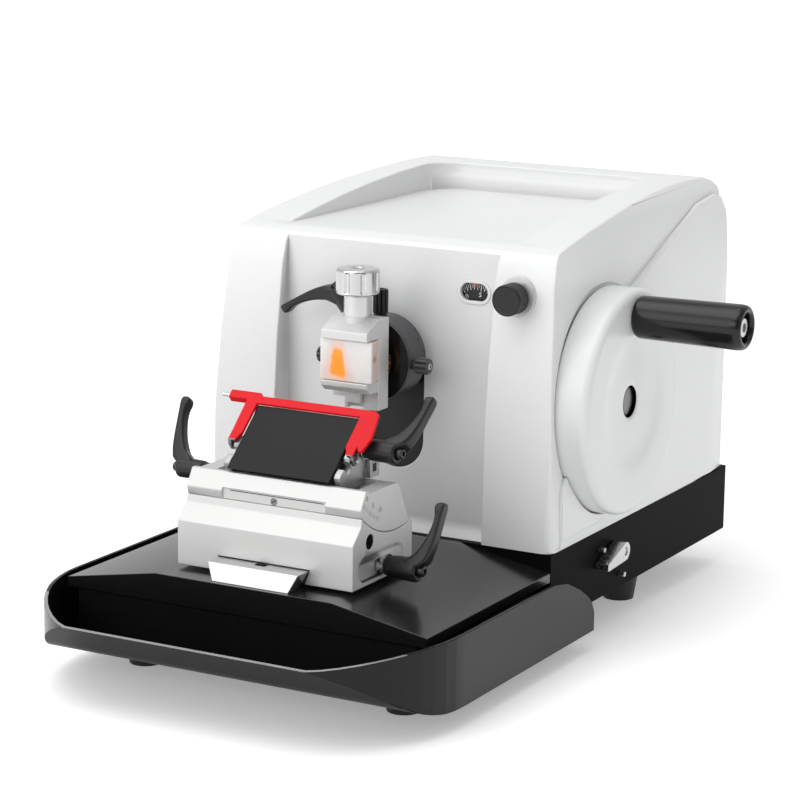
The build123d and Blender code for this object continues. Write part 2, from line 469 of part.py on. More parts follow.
# blade holder body (slides along X in the segment's way)
PIV = sn(29.5, -5.0)
HX0, HX1 = XC - 38.9, XC + 38.9
nose = [sn(0.75, -1.84), sn(14.2, -5.17), sn(29.0, -5.1), sn(30.0, -9.0), sn(46.0, -12.5), (-127.0, 133.8), (-101.0, 133.8), (-101.0, 137.1), (-84.2, 137.4), (-87.6, 156), (-94.2, 172.4)]
hb = px(nose, HX0, HX1)
hb = hb + bx(HX0, HX1, -123.0, -105.0, 127.2, 134.0)
cheek = [(-128.0, 133.8), (-128.0, 137.2), (-130.2, 139.9), sn(47.0, -1.4), sn(44.0, -1.0), sn(39.4, -1.6), sn(38.6, -8.2), sn(32.8, -8.2),
         sn(32.3, -3.4), sn(30.5, -1.6), sn(24.0, -1.6), (-104, 152.0), (-95, 137.4), (-101, 137.1), (-101, 133.8)]
hb = hb + px(cheek, HX1, HX1 + 4.6) + px(cheek, HX0 - 4.6, HX0)
hb = cut(hb, px([sn(8, 6), sn(8, -4.95), sn(29.5, -4.95), sn(30.2, -9.2), sn(60, -12.0), sn(60, 6)], XC - 38.5, XC + 38.5))
BL = (-100.0, 157.0)
hb = hb - cx(HX0 - 6, HX1 + 6, BL[0], BL[1], 4.05)
hb = hb - cx(HX0 - 6, HX0 + 6, PIV[0], PIV[1], 1.55) - cx(HX1 - 6, HX1 + 6, PIV[0], PIV[1], 1.55)
PP = sn(43.0, -3.0)              # pressure-plate pivot
hb = hb - cx(HX0 - 2.2, HX0 + 3, PP[0], PP[1], 1.05) - cx(HX1 - 3, HX1 + 2.2, PP[0], PP[1], 1.05)
ear = bx(HX1 + 4.0, HX1 + 8.2, -98.5, -86.5, 137.4, 149.5) - bx(HX1 + 4.7, HX1 + 9, -95.0, -90.0, 141.0, 146.5)
hb = hb + ear
add("holder_body", hb)
bp = [sn(-0.8, -1.15), sn(7.1, -3.08), sn(7.16, -3.33), sn(-0.7, -1.42)]
add("blade", px(bp, XC - 40, XC + 40))
plate = [sn(0, 0), sn(51.8, 0), sn(51.8, -0.6), sn(47.5, -1.4), sn(46.0, -4.4), sn(14.0, -4.4), sn(0, -0.92)]
pp = px(plate, XC - 38.1, XC + 38.1)
pp = pp + cx(XC - 40.9, XC - 37, PP[0], PP[1], 1.0) + cx(XC + 37, XC + 40.9, PP[0], PP[1], 1.0)
add("pressure_plate", pp)
add("blade_clamp_lever", lever_set((HX1 + 10.0, BL[0], BL[1]), (1, 0, 0), unit((0, 0.66, 0.75)), 1.0)
    + cx(HX0 - 4.0, HX1 + 9.2, BL[0], BL[1], 3.97) + cx(HX1 + 5.2, HX1 + 10.6, BL[0], BL[1], 6.0))

# guard, a red frame around the pressure plate
gN0, gN1 = -0.6, 1.8


def slab(pts, n0, n1):
    """Outline in (x, s), parallel to the pressure plate, from height n0 to n1."""
    o0 = (0, PLATE_TOP[0] + n0 * nY, PLATE_TOP[1] + n0 * nZ)
    pl = Plane(origin=o0, x_dir=(1, 0, 0), z_dir=(0, nY, nZ))
    # local y runs up the plate, which is -s
    return extrude(pl * Polygon(*ccw([(x, -s_) for x, s_ in pts]), align=None), amount=n1 - n0)


bar = slab([(XC - 47.5, -0.35), (XC - 47.5, -6.5), (XC + 47.6, -6.5), (XC + 51.4, -4.0), (XC + 51.8, -0.35)], gN0, gN1)
leg_r = slab([(XC + 38.7, -0.8), (XC + 51.8, -0.8), (XC + 54.0, 15.0), (XC + 51.6, 25.4), (XC + 48.9, 26.6), (XC + 46.8, 23.2), (XC + 46.6, 31.0),
              (XC + 42.0, 30.6), (XC + 38.7, 24.0)], gN0, gN1)
leg_l = slab([(XC - 38.7, -0.8), (XC - 47.5, -0.8), (XC - 46.8, 21.0), (XC - 46.8, 30.6), (XC - 41.4, 30.4), (XC - 38.7, 24.0)], gN0, gN1)
ear_pts = [sn(25.5, gN0 + 1), sn(25.5, gN1), sn(30.6, gN1), sn(32.4, -1.0), sn(32.6, -6.6), sn(30.0, -8.0), sn(27.4, -7.0)]
ear_r = px(ear_pts, HX1 + 5.2, XC + 46.6)
ear_l = px(ear_pts, XC - 46.8, HX0 - 5.2)
stub = slab([(XC - 62.0, -9.0), (XC - 39.2, -9.0), (XC - 37.4, -6.4), (XC - 39.5, -2.6), (XC - 62.0, -2.6)], -3.6, gN1)
guard = bar + leg_r + leg_l + ear_r + ear_l + stub
guard = guard - cx(HX0 - 20, HX0 - 4, PIV[0], PIV[1], 1.5) - cx(HX1 + 4, HX1 + 20, PIV[0], PIV[1], 1.5)
gp = sn(-6.0, -0.9)
guard = guard - cx(XC - 64, XC - 50, gp[0], gp[1], 1.4)
add("blade_guard", guard)
add("guard_pins", cx(XC - 68.5, XC - 50.0, gp[0], gp[1], 1.4), cx(HX0 - 9.2, HX0 - 1.0, PIV[0], PIV[1], 1.5),
    cx(HX1 + 1.0, HX1 + 9.2, PIV[0], PIV[1], 1.5))

# ---------------------------------------------------------------- section tray
def tray_plan(t):
    r = 112.0 - t
    pts = [(147 - t, 44.0), (147 - t, -145)]
    for i in range(1, 17):
        a = math.radians(-90 * i / 16)
        x_, y_ = 35 + r * math.cos(a), -145 + r * math.sin(a)
        pts.append((x_, max(y_, -243 + t)))
    pts = [p for k, p in enumerate(pts) if not (p[1] <= -243 + t + 1e-9 and k < len(pts) - 1 and pts[k - 1][1] <= -243 + t + 1e-9)]
    left = [(-p[0], p[1]) for p in reversed(pts)]
    return pts + left


TW = 2.6
tray_o = pz(tray_plan(0), 14, 62)
side_cut = px([(-400, 80), (-400, 40), (-262, 50.6), (-243, 53.0), (-215, 57.0), (-185, 60.0), (-155, 61.0), (-20, 61.0), (0, 57.5), (21, 48), (33, 40.5), (40, 34.5),
               (44, 27), (44.5, 10), (80, 10), (80, 80)], -160, 160)
under = px([(-260, 64), (-243, 53.0), (-183, 14.0), (-180, 5), (-300, 5)], -160, 160)
tray_o = tray_o - side_cut - under
tray_i = pz(tray_plan(TW), 14 + TW, 70)
under_i = px([(-260, 70), (-243 + 1.6, 53.0 + 1.4), (-183 + 1.6, 14.0 + 1.6), (-180, 5), (-300, 5)], -160, 160)
tray_i = tray_i - under_i
tray = tray_o - tray_i
tray = tray - bx(-126.4, 126.4, -171.4, 80, 0, 80) - bx(-137.0, 137.0, -3.2, 80, 0, 80)
for sg in (1, -1):
    def sx(a_, b_):
        return (min(sg * a_, sg * b_), max(sg * a_, sg * b_))
    tray = tray + bx(*sx(124.0, 126.4), -171.4, -0.8, 14, 50) + bx(*sx(119.2, 126.0), -166, -8, 47.3, 50)
    tray = tray + bx(*sx(124.0, 137.0), -3.2, -0.8, 14, 50) + bx(*sx(134.6, 137.0), -3.2, 43.0, 14, 44)
    tray = tray + bx(*sx(134.6, 146.9), 41.4, 44.0, 14, 27)
rear_wall = bx(-126.4, 126.4, -171.4, -169.0, 14, 55.4)
tray = tray + rear_wall
tray = tray - side_cut
add("section_tray", tray)

# ---------------------------------------------------------------- handwheel lock on the base's right side
LK = (99.3, 56.3)
lk = cx(134.5, 144.5, LK[0], LK[1], 6.6)
th = math.atan2(50.7 - LK[1], 71.0 - LK[0])
lk = lk + px([(LK[0] - 1.6, LK[1] + 6.4), (71.3, 53.6), (70.6, 53.0), (70.6, 48.8), (71.6, 48.2), (LK[0] + 1.2, LK[1] - 6.5)], 134.5, 144.5)
lk = lk - cx(130, 150, LK[0], LK[1], 2.95)
add("lock_lever", lk)
add("lock_pins", cx(127.6, 143.6, LK[0], LK[1], 2.9), cx(132, 139, 76.4, 61.5, 1.8), cx(132, 139, 110.9, 36.2, 1.8))
nodes["base_casting"][0] = nodes["base_casting"][0] - cx(131, 136, 76.4, 61.5, 1.82) - cx(131, 136, 110.9, 36.2, 1.82)

# ---------------------------------------------------------------- export
os.makedirs("parts", exist_ok=True)
for f_ in os.listdir("parts"):
    if f_.endswith(".step") and f_[:-5] not in nodes:
        os.remove(os.path.join("parts", f_))
lo = [1e9] * 3
hi = [-1e9] * 3
for name, shapes in nodes.items():
    sol = []
    for s in shapes:
        for q in s.solids():
            sol.append(Pos(*OFF) * q)
    comp = sol[0] if len(sol) == 1 else Compound(children=sol)
    comp.label = name
    bb = comp.bounding_box()
    for k, (a, b) in enumerate(((bb.min.X, bb.max.X), (bb.min.Y, bb.max.Y), (bb.min.Z, bb.max.Z))):
        lo[k] = min(lo[k], a)
        hi[k] = max(hi[k], b)
    if len(sol) != len(shapes):
        print("NOTE", name, "has", len(sol), "solids for", len(shapes), "shapes")
    export_step(comp, "parts/" + name + ".step")
print("nodes", len(nodes))
print("low", [round(v, 2) for v in lo], "high", [round(v, 2) for v in hi])
print("cutting edge axis", [round(KE[0] + OFF[1], 3), round(KE[1], 3)])
print("dial", DIAL, "centre distance", cd)
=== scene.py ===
import bpy, bmesh, json, math
from mathutils import Matrix, Vector, Euler


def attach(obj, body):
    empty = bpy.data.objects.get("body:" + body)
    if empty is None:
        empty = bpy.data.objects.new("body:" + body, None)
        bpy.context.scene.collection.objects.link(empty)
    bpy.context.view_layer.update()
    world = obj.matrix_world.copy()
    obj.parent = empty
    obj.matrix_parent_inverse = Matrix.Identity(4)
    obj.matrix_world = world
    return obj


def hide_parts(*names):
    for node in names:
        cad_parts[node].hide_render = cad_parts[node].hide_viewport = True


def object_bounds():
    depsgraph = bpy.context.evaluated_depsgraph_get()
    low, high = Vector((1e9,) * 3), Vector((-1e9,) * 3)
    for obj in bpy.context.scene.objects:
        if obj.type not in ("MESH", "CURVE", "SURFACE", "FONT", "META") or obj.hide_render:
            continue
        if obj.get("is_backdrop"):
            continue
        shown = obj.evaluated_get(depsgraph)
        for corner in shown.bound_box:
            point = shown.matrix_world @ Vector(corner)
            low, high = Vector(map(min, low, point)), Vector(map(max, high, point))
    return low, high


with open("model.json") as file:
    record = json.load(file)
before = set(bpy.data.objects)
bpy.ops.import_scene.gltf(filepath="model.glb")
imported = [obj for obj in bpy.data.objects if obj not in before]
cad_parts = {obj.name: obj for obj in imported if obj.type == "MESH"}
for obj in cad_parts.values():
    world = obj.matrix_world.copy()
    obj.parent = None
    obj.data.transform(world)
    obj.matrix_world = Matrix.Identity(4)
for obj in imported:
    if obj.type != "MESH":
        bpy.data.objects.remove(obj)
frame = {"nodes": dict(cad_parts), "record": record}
NODES = frame["nodes"]


def as_lists(b):
    try:
        return [[float(c) for c in p] for p in b]
    except TypeError:
        return [float(c) for c in b]


CAD_BOX = as_lists(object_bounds())
OFF = Vector((-38.0, -30.5, 0.0))
XC = 4.2
COLL = bpy.context.scene.collection


def D(x, y, z):
    """Drawing millimetres -> row frame metres."""
    return Vector(((x + OFF.x) * 0.001, (y + OFF.y) * 0.001, z * 0.001))


# ------------------------------------------------------------------ materials
def mat(name, col, rough, metal=0.0, mottle=(25.0, 0.04), grain=(900.0, 0.05), bump=(1500.0, 0.06, 0.0002),
        stretch=(1, 1, 1), coat=0.0, coat_rough=0.1, spec=0.5, ior=1.5, sss=0.0, sss_col=None, edge=0.0, edge_col=None,
        tint=None, trans=0.0, sheen=0.0):
    m = bpy.data.materials.new(name)
    m.use_nodes = True
    nt = m.node_tree
    N, L = nt.nodes, nt.links
    b = N["Principled BSDF"]
    tc = N.new("ShaderNodeTexCoord")
    mp = N.new("ShaderNodeMapping")
    mp.inputs["Scale"].default_value = stretch
    L.new(tc.outputs["Object"], mp.inputs["Vector"])
    n1 = N.new("ShaderNodeTexNoise"); n1.inputs["Scale"].default_value = mottle[0]; n1.inputs["Detail"].default_value = 5.0
    L.new(tc.outputs["Object"], n1.inputs["Vector"])
    n2 = N.new("ShaderNodeTexNoise"); n2.inputs["Scale"].default_value = grain[0]; n2.inputs["Detail"].default_value = 3.0
    L.new(mp.outputs["Vector"], n2.inputs["Vector"])
    n3 = N.new("ShaderNodeTexNoise"); n3.inputs["Scale"].default_value = bump[0]; n3.inputs["Detail"].default_value = 2.0
    L.new(mp.outputs["Vector"], n3.inputs["Vector"])
    add = N.new("ShaderNodeMath"); add.operation = "ADD"
    L.new(n1.outputs["Fac"], add.inputs[0]); L.new(n2.outputs["Fac"], add.inputs[1])
    ramp = N.new("ShaderNodeMapRange")
    ramp.inputs["From Min"].default_value = 0.7; ramp.inputs["From Max"].default_value = 1.3
    L.new(add.outputs[0], ramp.inputs["Value"])
    mix = N.new("ShaderNodeMix"); mix.data_type = "RGBA"
    a = mottle[1]
    c2 = tint or col
    mix.inputs[6].default_value = (*[max(0.0, c * (1 - a)) for c in col], 1)
    mix.inputs[7].default_value = (*[min(1.0, c * (1 + a)) for c in c2], 1)
    L.new(ramp.outputs["Result"], mix.inputs[0])
    colout = mix.outputs[2]
    if edge > 0 and edge_col is None:
        g = N.new("ShaderNodeNewGeometry")
        er = N.new("ShaderNodeMapRange")
        er.inputs["From Min"].default_value = 0.52; er.inputs["From Max"].default_value = 0.62
        er.inputs["To Max"].default_value = edge
        L.new(g.outputs["Pointiness"], er.inputs["Value"])
        ml = N.new("ShaderNodeMath"); ml.operation = "MULTIPLY"
        L.new(er.outputs["Result"], ml.inputs[0]); L.new(n2.outputs["Fac"], ml.inputs[1])
        mx = N.new("ShaderNodeMix"); mx.data_type = "RGBA"
        L.new(ml.outputs[0], mx.inputs[0]); L.new(colout, mx.inputs[6])
        mx.inputs[7].default_value = (*(edge_col or (0.6, 0.6, 0.6)), 1)
        colout = mx.outputs[2]
    L.new(colout, b.inputs["Base Color"])
    rr = N.new("ShaderNodeMapRange")
    rr.inputs["From Min"].default_value = 0.3; rr.inputs["From Max"].default_value = 0.7
    rr.inputs["To Min"].default_value = max(0.02, rough - grain[1]); rr.inputs["To Max"].default_value = min(1.0, rough + grain[1])
    mr = N.new("ShaderNodeMath"); mr.operation = "ADD"; 
    hf = N.new("ShaderNodeMath"); hf.operation = "MULTIPLY_ADD"; hf.inputs[1].default_value = 0.5; hf.inputs[2].default_value = 0.0
    L.new(n1.outputs["Fac"], hf.inputs[0])
    hg = N.new("ShaderNodeMath"); hg.operation = "MULTIPLY_ADD"; hg.inputs[1].default_value = 0.5
    L.new(n2.outputs["Fac"], hg.inputs[0]); L.new(hf.outputs[0], hg.inputs[2])
    L.new(hg.outputs[0], rr.inputs["Value"])
    L.new(rr.outputs["Result"], b.inputs["Roughness"])
    nt.nodes.remove(mr)
    bp = N.new("ShaderNodeBump"); bp.inputs["Strength"].default_value = bump[1]; bp.inputs["Distance"].default_value = bump[2]
    L.new(n3.outputs["Fac"], bp.inputs["Height"]); L.new(bp.outputs["Normal"], b.inputs["Normal"])
    b.inputs["Metallic"].default_value = metal
    b.inputs["Specular IOR Level"].default_value = spec
    b.inputs["IOR"].default_value = ior
    b.inputs["Coat Weight"].default_value = coat
    b.inputs["Coat Roughness"].default_value = coat_rough
    b.inputs["Sheen Weight"].default_value = sheen
    b.inputs["Transmission Weight"].default_value = trans
    if sss > 0:
        b.inputs["Subsurface Weight"].default_value = sss
        b.inputs["Subsurface Radius"].default_value = sss_col or (1.0, 0.4, 0.2)
        b.inputs["Subsurface Scale"].default_value = 0.004
    return m


MT = {
    "white_shell": mat("white_shell", (0.745, 0.75, 0.745), 0.36, mottle=(9.0, 0.012), grain=(260.0, 0.05), bump=(1400.0, 0.10, 0.00012), coat=0.25, coat_rough=0.18),
    "white_wheel": mat("white_wheel", (0.715, 0.725, 0.725), 0.34, mottle=(12.0, 0.012), grain=(300.0, 0.05), bump=(1400.0, 0.08, 0.00012), coat=0.25, coat_rough=0.18),
    "black_satin": mat("black_satin", (0.010, 0.010, 0.011), 0.20, mottle=(14.0, 0.15), grain=(500.0, 0.02), bump=(1200.0, 0.015, 0.00005), spec=0.85),
    "black_side": mat("black_side", (0.005, 0.0052, 0.0056), 0.36, mottle=(18.0, 0.2), grain=(700.0, 0.05), bump=(1600.0, 0.10, 0.0001), spec=0.5, ior=1.07),
    "tray_black": mat("tray_black", (0.008, 0.0085, 0.009), 0.24, mottle=(10.0, 0.15), grain=(400.0, 0.03), bump=(1000.0, 0.02, 0.00005), spec=0.5, ior=1.30),
    # the next three are painted light: two darker, less reflective copies of the tray black for painted shade, then a
    # lighter grey under a gloss coat for a partly painted highlight on the rim
    "tray_under_shade": mat("tray_under_shade", (0.008, 0.0085, 0.009), 0.30, mottle=(10.0, 0.15), grain=(400.0, 0.02), bump=(1000.0, 0.02, 0.00005), spec=0.5, ior=1.065),
    "tray_inside_shade": mat("tray_inside_shade", (0.006, 0.006, 0.0065), 0.5, mottle=(10.0, 0.15), grain=(400.0, 0.04), bump=(1000.0, 0.05, 0.00006), spec=0.05),
    "tray_rim_highlight": mat("tray_rim_highlight", (0.22, 0.225, 0.23), 0.20, metal=0.2, mottle=(10.0, 0.10), grain=(400.0, 0.04), bump=(1000.0, 0.03, 0.00006), coat=1.0, coat_rough=0.08),
    "screw_black": mat("screw_black", (0.05, 0.05, 0.052), 0.25, metal=0.8, mottle=(60.0, 0.15), grain=(800.0, 0.06), bump=(1500.0, 0.08, 0.0001)),
    "bore_dark": mat("bore_dark", (0.0015, 0.0015, 0.0016), 0.6, mottle=(60.0, 0.1), grain=(800.0, 0.06), bump=(1500.0, 0.08, 0.0001), spec=0.5, ior=1.02),
    "black_gloss": mat("black_gloss", (0.006, 0.006, 0.0065), 0.20, mottle=(30.0, 0.2), grain=(600.0, 0.04), bump=(900.0, 0.03, 0.0001), spec=0.28, coat=0.16, coat_rough=0.05),
    "black_moulded": mat("black_moulded", (0.011, 0.011, 0.0115), 0.34, mottle=(40.0, 0.2), grain=(1400.0, 0.08), bump=(2600.0, 0.18, 0.00012), spec=0.36),
    "black_matte": mat("black_matte", (0.016, 0.016, 0.017), 0.55, mottle=(60.0, 0.25), grain=(2200.0, 0.10), bump=(3000.0, 0.25, 0.00012)),
    "black_anodised": mat("black_anodised", (0.009, 0.009, 0.0095), 0.40, metal=0.0, mottle=(40.0, 0.15), grain=(1500.0, 0.06), bump=(2600.0, 0.10, 0.0001), spec=0.5, ior=1.27),
    "grey_dark": mat("grey_dark", (0.045, 0.046, 0.05), 0.32, mottle=(60.0, 0.2), grain=(900.0, 0.08), bump=(1500.0, 0.12, 0.0001)),
    "rubber_black": mat("rubber_black", (0.018, 0.018, 0.019), 0.42, mottle=(60.0, 0.2), grain=(1200.0, 0.12), bump=(1800.0, 0.35, 0.0002), spec=0.35),
    "steel_bright": mat("steel_bright", (0.58, 0.58, 0.59), 0.24, metal=1.0, mottle=(70.0, 0.05), grain=(160.0, 0.09), bump=(220.0, 0.07, 0.00006), stretch=(0.6, 14, 14)),
    "steel_satin": mat("steel_satin", (0.56, 0.56, 0.56), 0.32, metal=1.0, mottle=(60.0, 0.05), grain=(2200.0, 0.07), bump=(3600.0, 0.16, 0.00006)),
    "steel_dark": mat("steel_dark", (0.20, 0.20, 0.205), 0.34, metal=1.0, mottle=(50.0, 0.12), grain=(500.0, 0.08), bump=(900.0, 0.10, 0.00008), stretch=(1, 4, 4)),
    "casting": mat("casting", (0.13, 0.135, 0.14), 0.55, mottle=(40.0, 0.12), grain=(350.0, 0.10), bump=(420.0, 0.45, 0.0006)),
    "aluminium": mat("aluminium", (0.58, 0.58, 0.585), 0.24, metal=1.0, mottle=(60.0, 0.05), grain=(260.0, 0.07), bump=(420.0, 0.07, 0.00005), stretch=(1, 1, 12)),
    "alu_blast": mat("alu_blast", (0.60, 0.60, 0.593), 0.44, metal=0.5, mottle=(45.0, 0.03), grain=(2600.0, 0.06), bump=(4200.0, 0.16, 0.00005)),
    "holder_alu": mat("holder_alu", (0.40, 0.40, 0.398), 0.34, metal=0.75, mottle=(60.0, 0.03), grain=(2200.0, 0.05), bump=(3600.0, 0.10, 0.00005)),
    "clamp_alu": mat("clamp_alu", (0.64, 0.64, 0.635), 0.46, metal=0.5, mottle=(60.0, 0.03), grain=(2200.0, 0.06), bump=(3600.0, 0.14, 0.00005)),
    "copper": mat("copper", (0.80, 0.36, 0.17), 0.26, metal=1.0, mottle=(80.0, 0.10), grain=(300.0, 0.10), bump=(420.0, 0.10, 0.00006), stretch=(8, 1, 8)),
    "brass": mat("brass", (0.78, 0.60, 0.27), 0.28, metal=1.0, mottle=(60.0, 0.06), grain=(400.0, 0.08), bump=(600.0, 0.08, 0.00006)),
    "red_paint": mat("red_paint", (0.66, 0.004, 0.011), 0.34, mottle=(50.0, 0.05), grain=(900.0, 0.05), bump=(1600.0, 0.10, 0.0001), spec=0.16),
    "cassette": mat("cassette", (0.66, 0.50, 0.42), 0.45, mottle=(90.0, 0.06), grain=(1200.0, 0.08), bump=(1500.0, 0.14, 0.00012), sss=0.2, sss_col=(1.0, 0.5, 0.3)),
    "wax": mat("wax", (0.90, 0.865, 0.82), 0.40, mottle=(160.0, 0.06), grain=(900.0, 0.12), bump=(380.0, 0.35, 0.00035), sss=0.85, sss_col=(1.0, 0.62, 0.42)),
    "tissue": mat("tissue", (0.93, 0.20, 0.02), 0.45, mottle=(420.0, 0.35), grain=(1500.0, 0.12), bump=(900.0, 0.4, 0.0003), sss=0.3, sss_col=(1.0, 0.3, 0.1), tint=(1.0, 0.34, 0.05)),
    "white_ink": mat("white_ink", (0.82, 0.82, 0.82), 0.5, mottle=(300.0, 0.05), grain=(1200.0, 0.08), bump=(1500.0, 0.1, 0.00005)),
    "dark_ink": mat("dark_ink", (0.03, 0.03, 0.032), 0.5, mottle=(300.0, 0.1), grain=(1200.0, 0.08), bump=(1500.0, 0.1, 0.00005)),
    "dark_peach": mat("dark_peach", (0.30, 0.16, 0.12), 0.45, mottle=(300.0, 0.1), grain=(1200.0, 0.08), bump=(1500.0, 0.1, 0.00005)),
    "red_ink": mat("red_ink", (0.75, 0.03, 0.03), 0.4, mottle=(300.0, 0.1), grain=(1200.0, 0.08), bump=(1500.0, 0.1, 0.00005)),
}

SLOT = {
    "base_casting": "black_side", "apron_plate": "black_satin", "rubber_feet": "rubber_black", "cover_shell": "white_shell", "scale_bezel": "black_matte",
    "knob_collar": "alu_blast", "dial_bracket": "aluminium", "wheel_pedestal": "casting", "shaft_bearings": "steel_bright", "guide_column": "casting",
    "guide_rails": "steel_dark", "holder_rail": "steel_satin", "rail_screws": "steel_dark", "lock_pins": "steel_bright", "slot_curtain": "black_matte",
    "balance_spring": "steel_dark", "handwheel": "white_wheel", "hub_cap": "black_gloss", "main_shaft": "steel_dark", "crank_disc": "casting",
    "handle_spindle": "steel_bright", "crank_roller": "steel_bright", "handle_grip": "black_gloss", "lock_lever": "aluminium", "specimen_slide": "casting",
    "yoke_plate": "steel_dark", "slot_shutter": "black_matte", "feed_screw": "steel_dark", "ratchet_wheel": "steel_dark", "feed_pawl": "steel_bright",
    "coarse_wheel": "black_gloss", "feed_quill": "steel_dark", "feed_nut": "brass", "head_housing": "grey_dark", "head_disc": "black_gloss",
    "head_lock_lever": "black_moulded", "gimbal_ring": "black_gloss", "clamp_flange": "copper", "clamp_body": "clamp_alu", "tissue_cassette": "cassette",
    "wax_block": "wax", "tissue_sample": "tissue", "tilt_knob_top": "steel_dark", "tilt_knobs_side": "steel_dark", "clamp_knob": "aluminium",
    "clamp_jaw": "clamp_alu", "section_tray": "tray_black", "holder_base": "alu_blast", "base_clamp_lever": "black_moulded", "tilt_segment": "alu_blast",
    "segment_lever": "black_moulded", "holder_body": "holder_alu", "blade": "steel_bright", "blade_clamp_lever": "black_moulded",
    "pressure_plate": "black_anodised", "blade_guard": "red_paint", "guard_pins": "steel_bright", "thickness_knob": "black_moulded",
    "knob_shaft": "steel_bright", "scale_dial": "black_matte",
}
BODY = {n: b for b, ns in frame["record"]["behaviour"]["bodies"].items() for n in ns}

# ------------------------------------------------------------------ mesh helpers
def link(name, me, material, body, node=None, smooth=50.0, weighted=True):
    ob = bpy.data.objects.new(name, me)
    COLL.objects.link(ob)
    if not me.materials:
        me.materials.append(material if not isinstance(material, str) else MT[material])
    for p in me.polygons:
        p.use_smooth = True
    me.set_sharp_from_angle(angle=math.radians(smooth))
    if weighted:
        w = ob.modifiers.new("wn", "WEIGHTED_NORMAL"); w.keep_sharp = True; w.weight = 100
    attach(ob, body)
    if node:
        for n in ([node] if isinstance(node, str) else node):
            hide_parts(n)
    return ob


def loose_parts(bm):
    seen, out = set(), []
    for v in bm.verts:
        if v in seen:
            continue
        st, comp = [v], []
        seen.add(v)
        while st:
            a = st.pop(); comp.append(a)
            for e in a.link_edges:
                o = e.other_vert(a)
                if o not in seen:
                    seen.add(o); st.append(o)
        out.append(comp)
    return out


def clean_bm(node, weld=2e-6, flat=0.6):
    bm = bmesh.new()
    bm.from_mesh(NODES[node].data)
    bmesh.ops.remove_doubles(bm, verts=bm.verts, dist=weld)
    bmesh.ops.dissolve_degenerate(bm, edges=bm.edges, dist=1e-6)
    bmesh.ops.dissolve_limit(bm, angle_limit=math.radians(flat), use_dissolve_boundaries=False, verts=bm.verts, edges=bm.edges)
    return bm


def bevel_bm(bm, width, angle=30.0, seg=2, pick=None, clamp=True, profile=0.5):
    bm.normal_update()
    es = []
    for e in bm.edges:
        if len(e.link_faces) != 2:
            continue
        a = e.calc_face_angle(0.0)
        if a > math.radians(angle) and (pick is None or pick(e)):
            es.append(e)
    if es:
        bmesh.ops.bevel(bm, geom=es, offset=width, offset_type="OFFSET", segments=seg, profile=profile, affect="EDGES", clamp_overlap=clamp, loop_slide=True)
    return bm


def skin(node, width=0.0004, angle=30.0, seg=2, pick=None, clamp=False, material=None, smooth=50.0, big=None, name=None, post=None):
    """A copy of a CAD node with its sharp edges rounded, standing for that node."""
    bm = clean_bm(node)
    for pk, w, s in (big or []):
        bevel_bm(bm, w, 30.0, s, pick=pk, clamp=clamp)
        bmesh.ops.dissolve_degenerate(bm, edges=bm.edges, dist=1e-6)
    if width > 0:
        bevel_bm(bm, width, angle, seg, pick=pick, clamp=clamp)
    if post:
        post(bm)
    me = bpy.data.meshes.new(name or node + "_skin")
    bm.to_mesh(me); bm.free()
    return link(name or node + "_skin", me, material or SLOT[node], BODY[node], node, smooth)


def lathe(name, prof, axis_o, axis, material, body, node=None, n=96, smooth=40.0, closed=False):
    """prof: (along, radius) pairs in mm, revolved round an axis through axis_o (drawing mm)."""
    o = D(*axis_o)
    a = Vector(axis).normalized()
    q = a.to_track_quat("Z", "Y").to_matrix()
    bm = bmesh.new()
    rings = []
    for t, r in prof:
        if r < 1e-6:
            rings.append([bm.verts.new(o + a * t * 0.001)])
        else:
            rings.append([bm.verts.new(o + a * t * 0.001 + q @ Vector((math.cos(2 * math.pi * k / n), math.sin(2 * math.pi * k / n), 0)) * r * 0.001) for k in range(n)])
    pairs = list(zip(rings, rings[1:])) + ([(rings[-1], rings[0])] if closed else [])
    for A, B in pairs:
        for k in range(n):
            k2 = (k + 1) % n
            if len(A) == 1 and len(B) == 1:
                continue
            if len(A) == 1:
                bm.faces.new((A[0], B[k2], B[k]))
            elif len(B) == 1:
                bm.faces.new((A[k], A[k2], B[0]))
            else:
                bm.faces.new((A[k], A[k2], B[k2], B[k]))
    bmesh.ops.recalc_face_normals(bm, faces=bm.faces)
    me = bpy.data.meshes.new(name)
    bm.to_mesh(me); bm.free()
    return link(name, me, material, body, node, smooth)


# ------------------------------------------------------------------ pieces
def mesh_obj(name, bm, material, body, node=None, smooth=50.0, weighted=True):
    bmesh.ops.recalc_face_normals(bm, faces=bm.faces)
    me = bpy.data.meshes.new(name)
    bm.to_mesh(me); bm.free()
    return link(name, me, material, body, node, smooth, weighted)


def basis(origin, zdir, xdir=None):
    """4x4 matrix: local z along zdir, local x along xdir, origin in drawing mm; local units are mm."""
    z = Vector(zdir).normalized()
    x = Vector(xdir) if xdir else z.orthogonal()
    x = (x - z * x.dot(z)).normalized()
    y = z.cross(x)
    o = D(*origin)
    s_ = 0.001
    return Matrix(((x.x * s_, y.x * s_, z.x * s_, o.x), (x.y * s_, y.y * s_, z.y * s_, o.y), (x.z * s_, y.z * s_, z.z * s_, o.z), (0, 0, 0, 1)))


def ring_faces(bm, A, B):
    n = len(A)
    for k in range(n):
        k2 = (k + 1) % n
        bm.faces.new((A[k], A[k2], B[k2], B[k]))


def turned(bm, prof, n=72, mod=None, mtx=None, cap=True):
    """Adds a turned solid to bm. prof: (z, r) in local mm. mod(z, r, t) may change the radius."""
    rings = []
    for z, r in prof:
        ring = []
        for k in range(n):
            t = 2 * math.pi * k / n
            rr = mod(z, r, t) if mod else r
            v = Vector((rr * math.cos(t), rr * math.sin(t), z))
            ring.append(bm.verts.new(mtx @ v if mtx else v))
        rings.append(ring)
    for A, B in zip(rings, rings[1:]):
        ring_faces(bm, A, B)
    if cap:
        bm.faces.new(list(reversed(rings[0]))); bm.faces.new(rings[-1])
    return bm


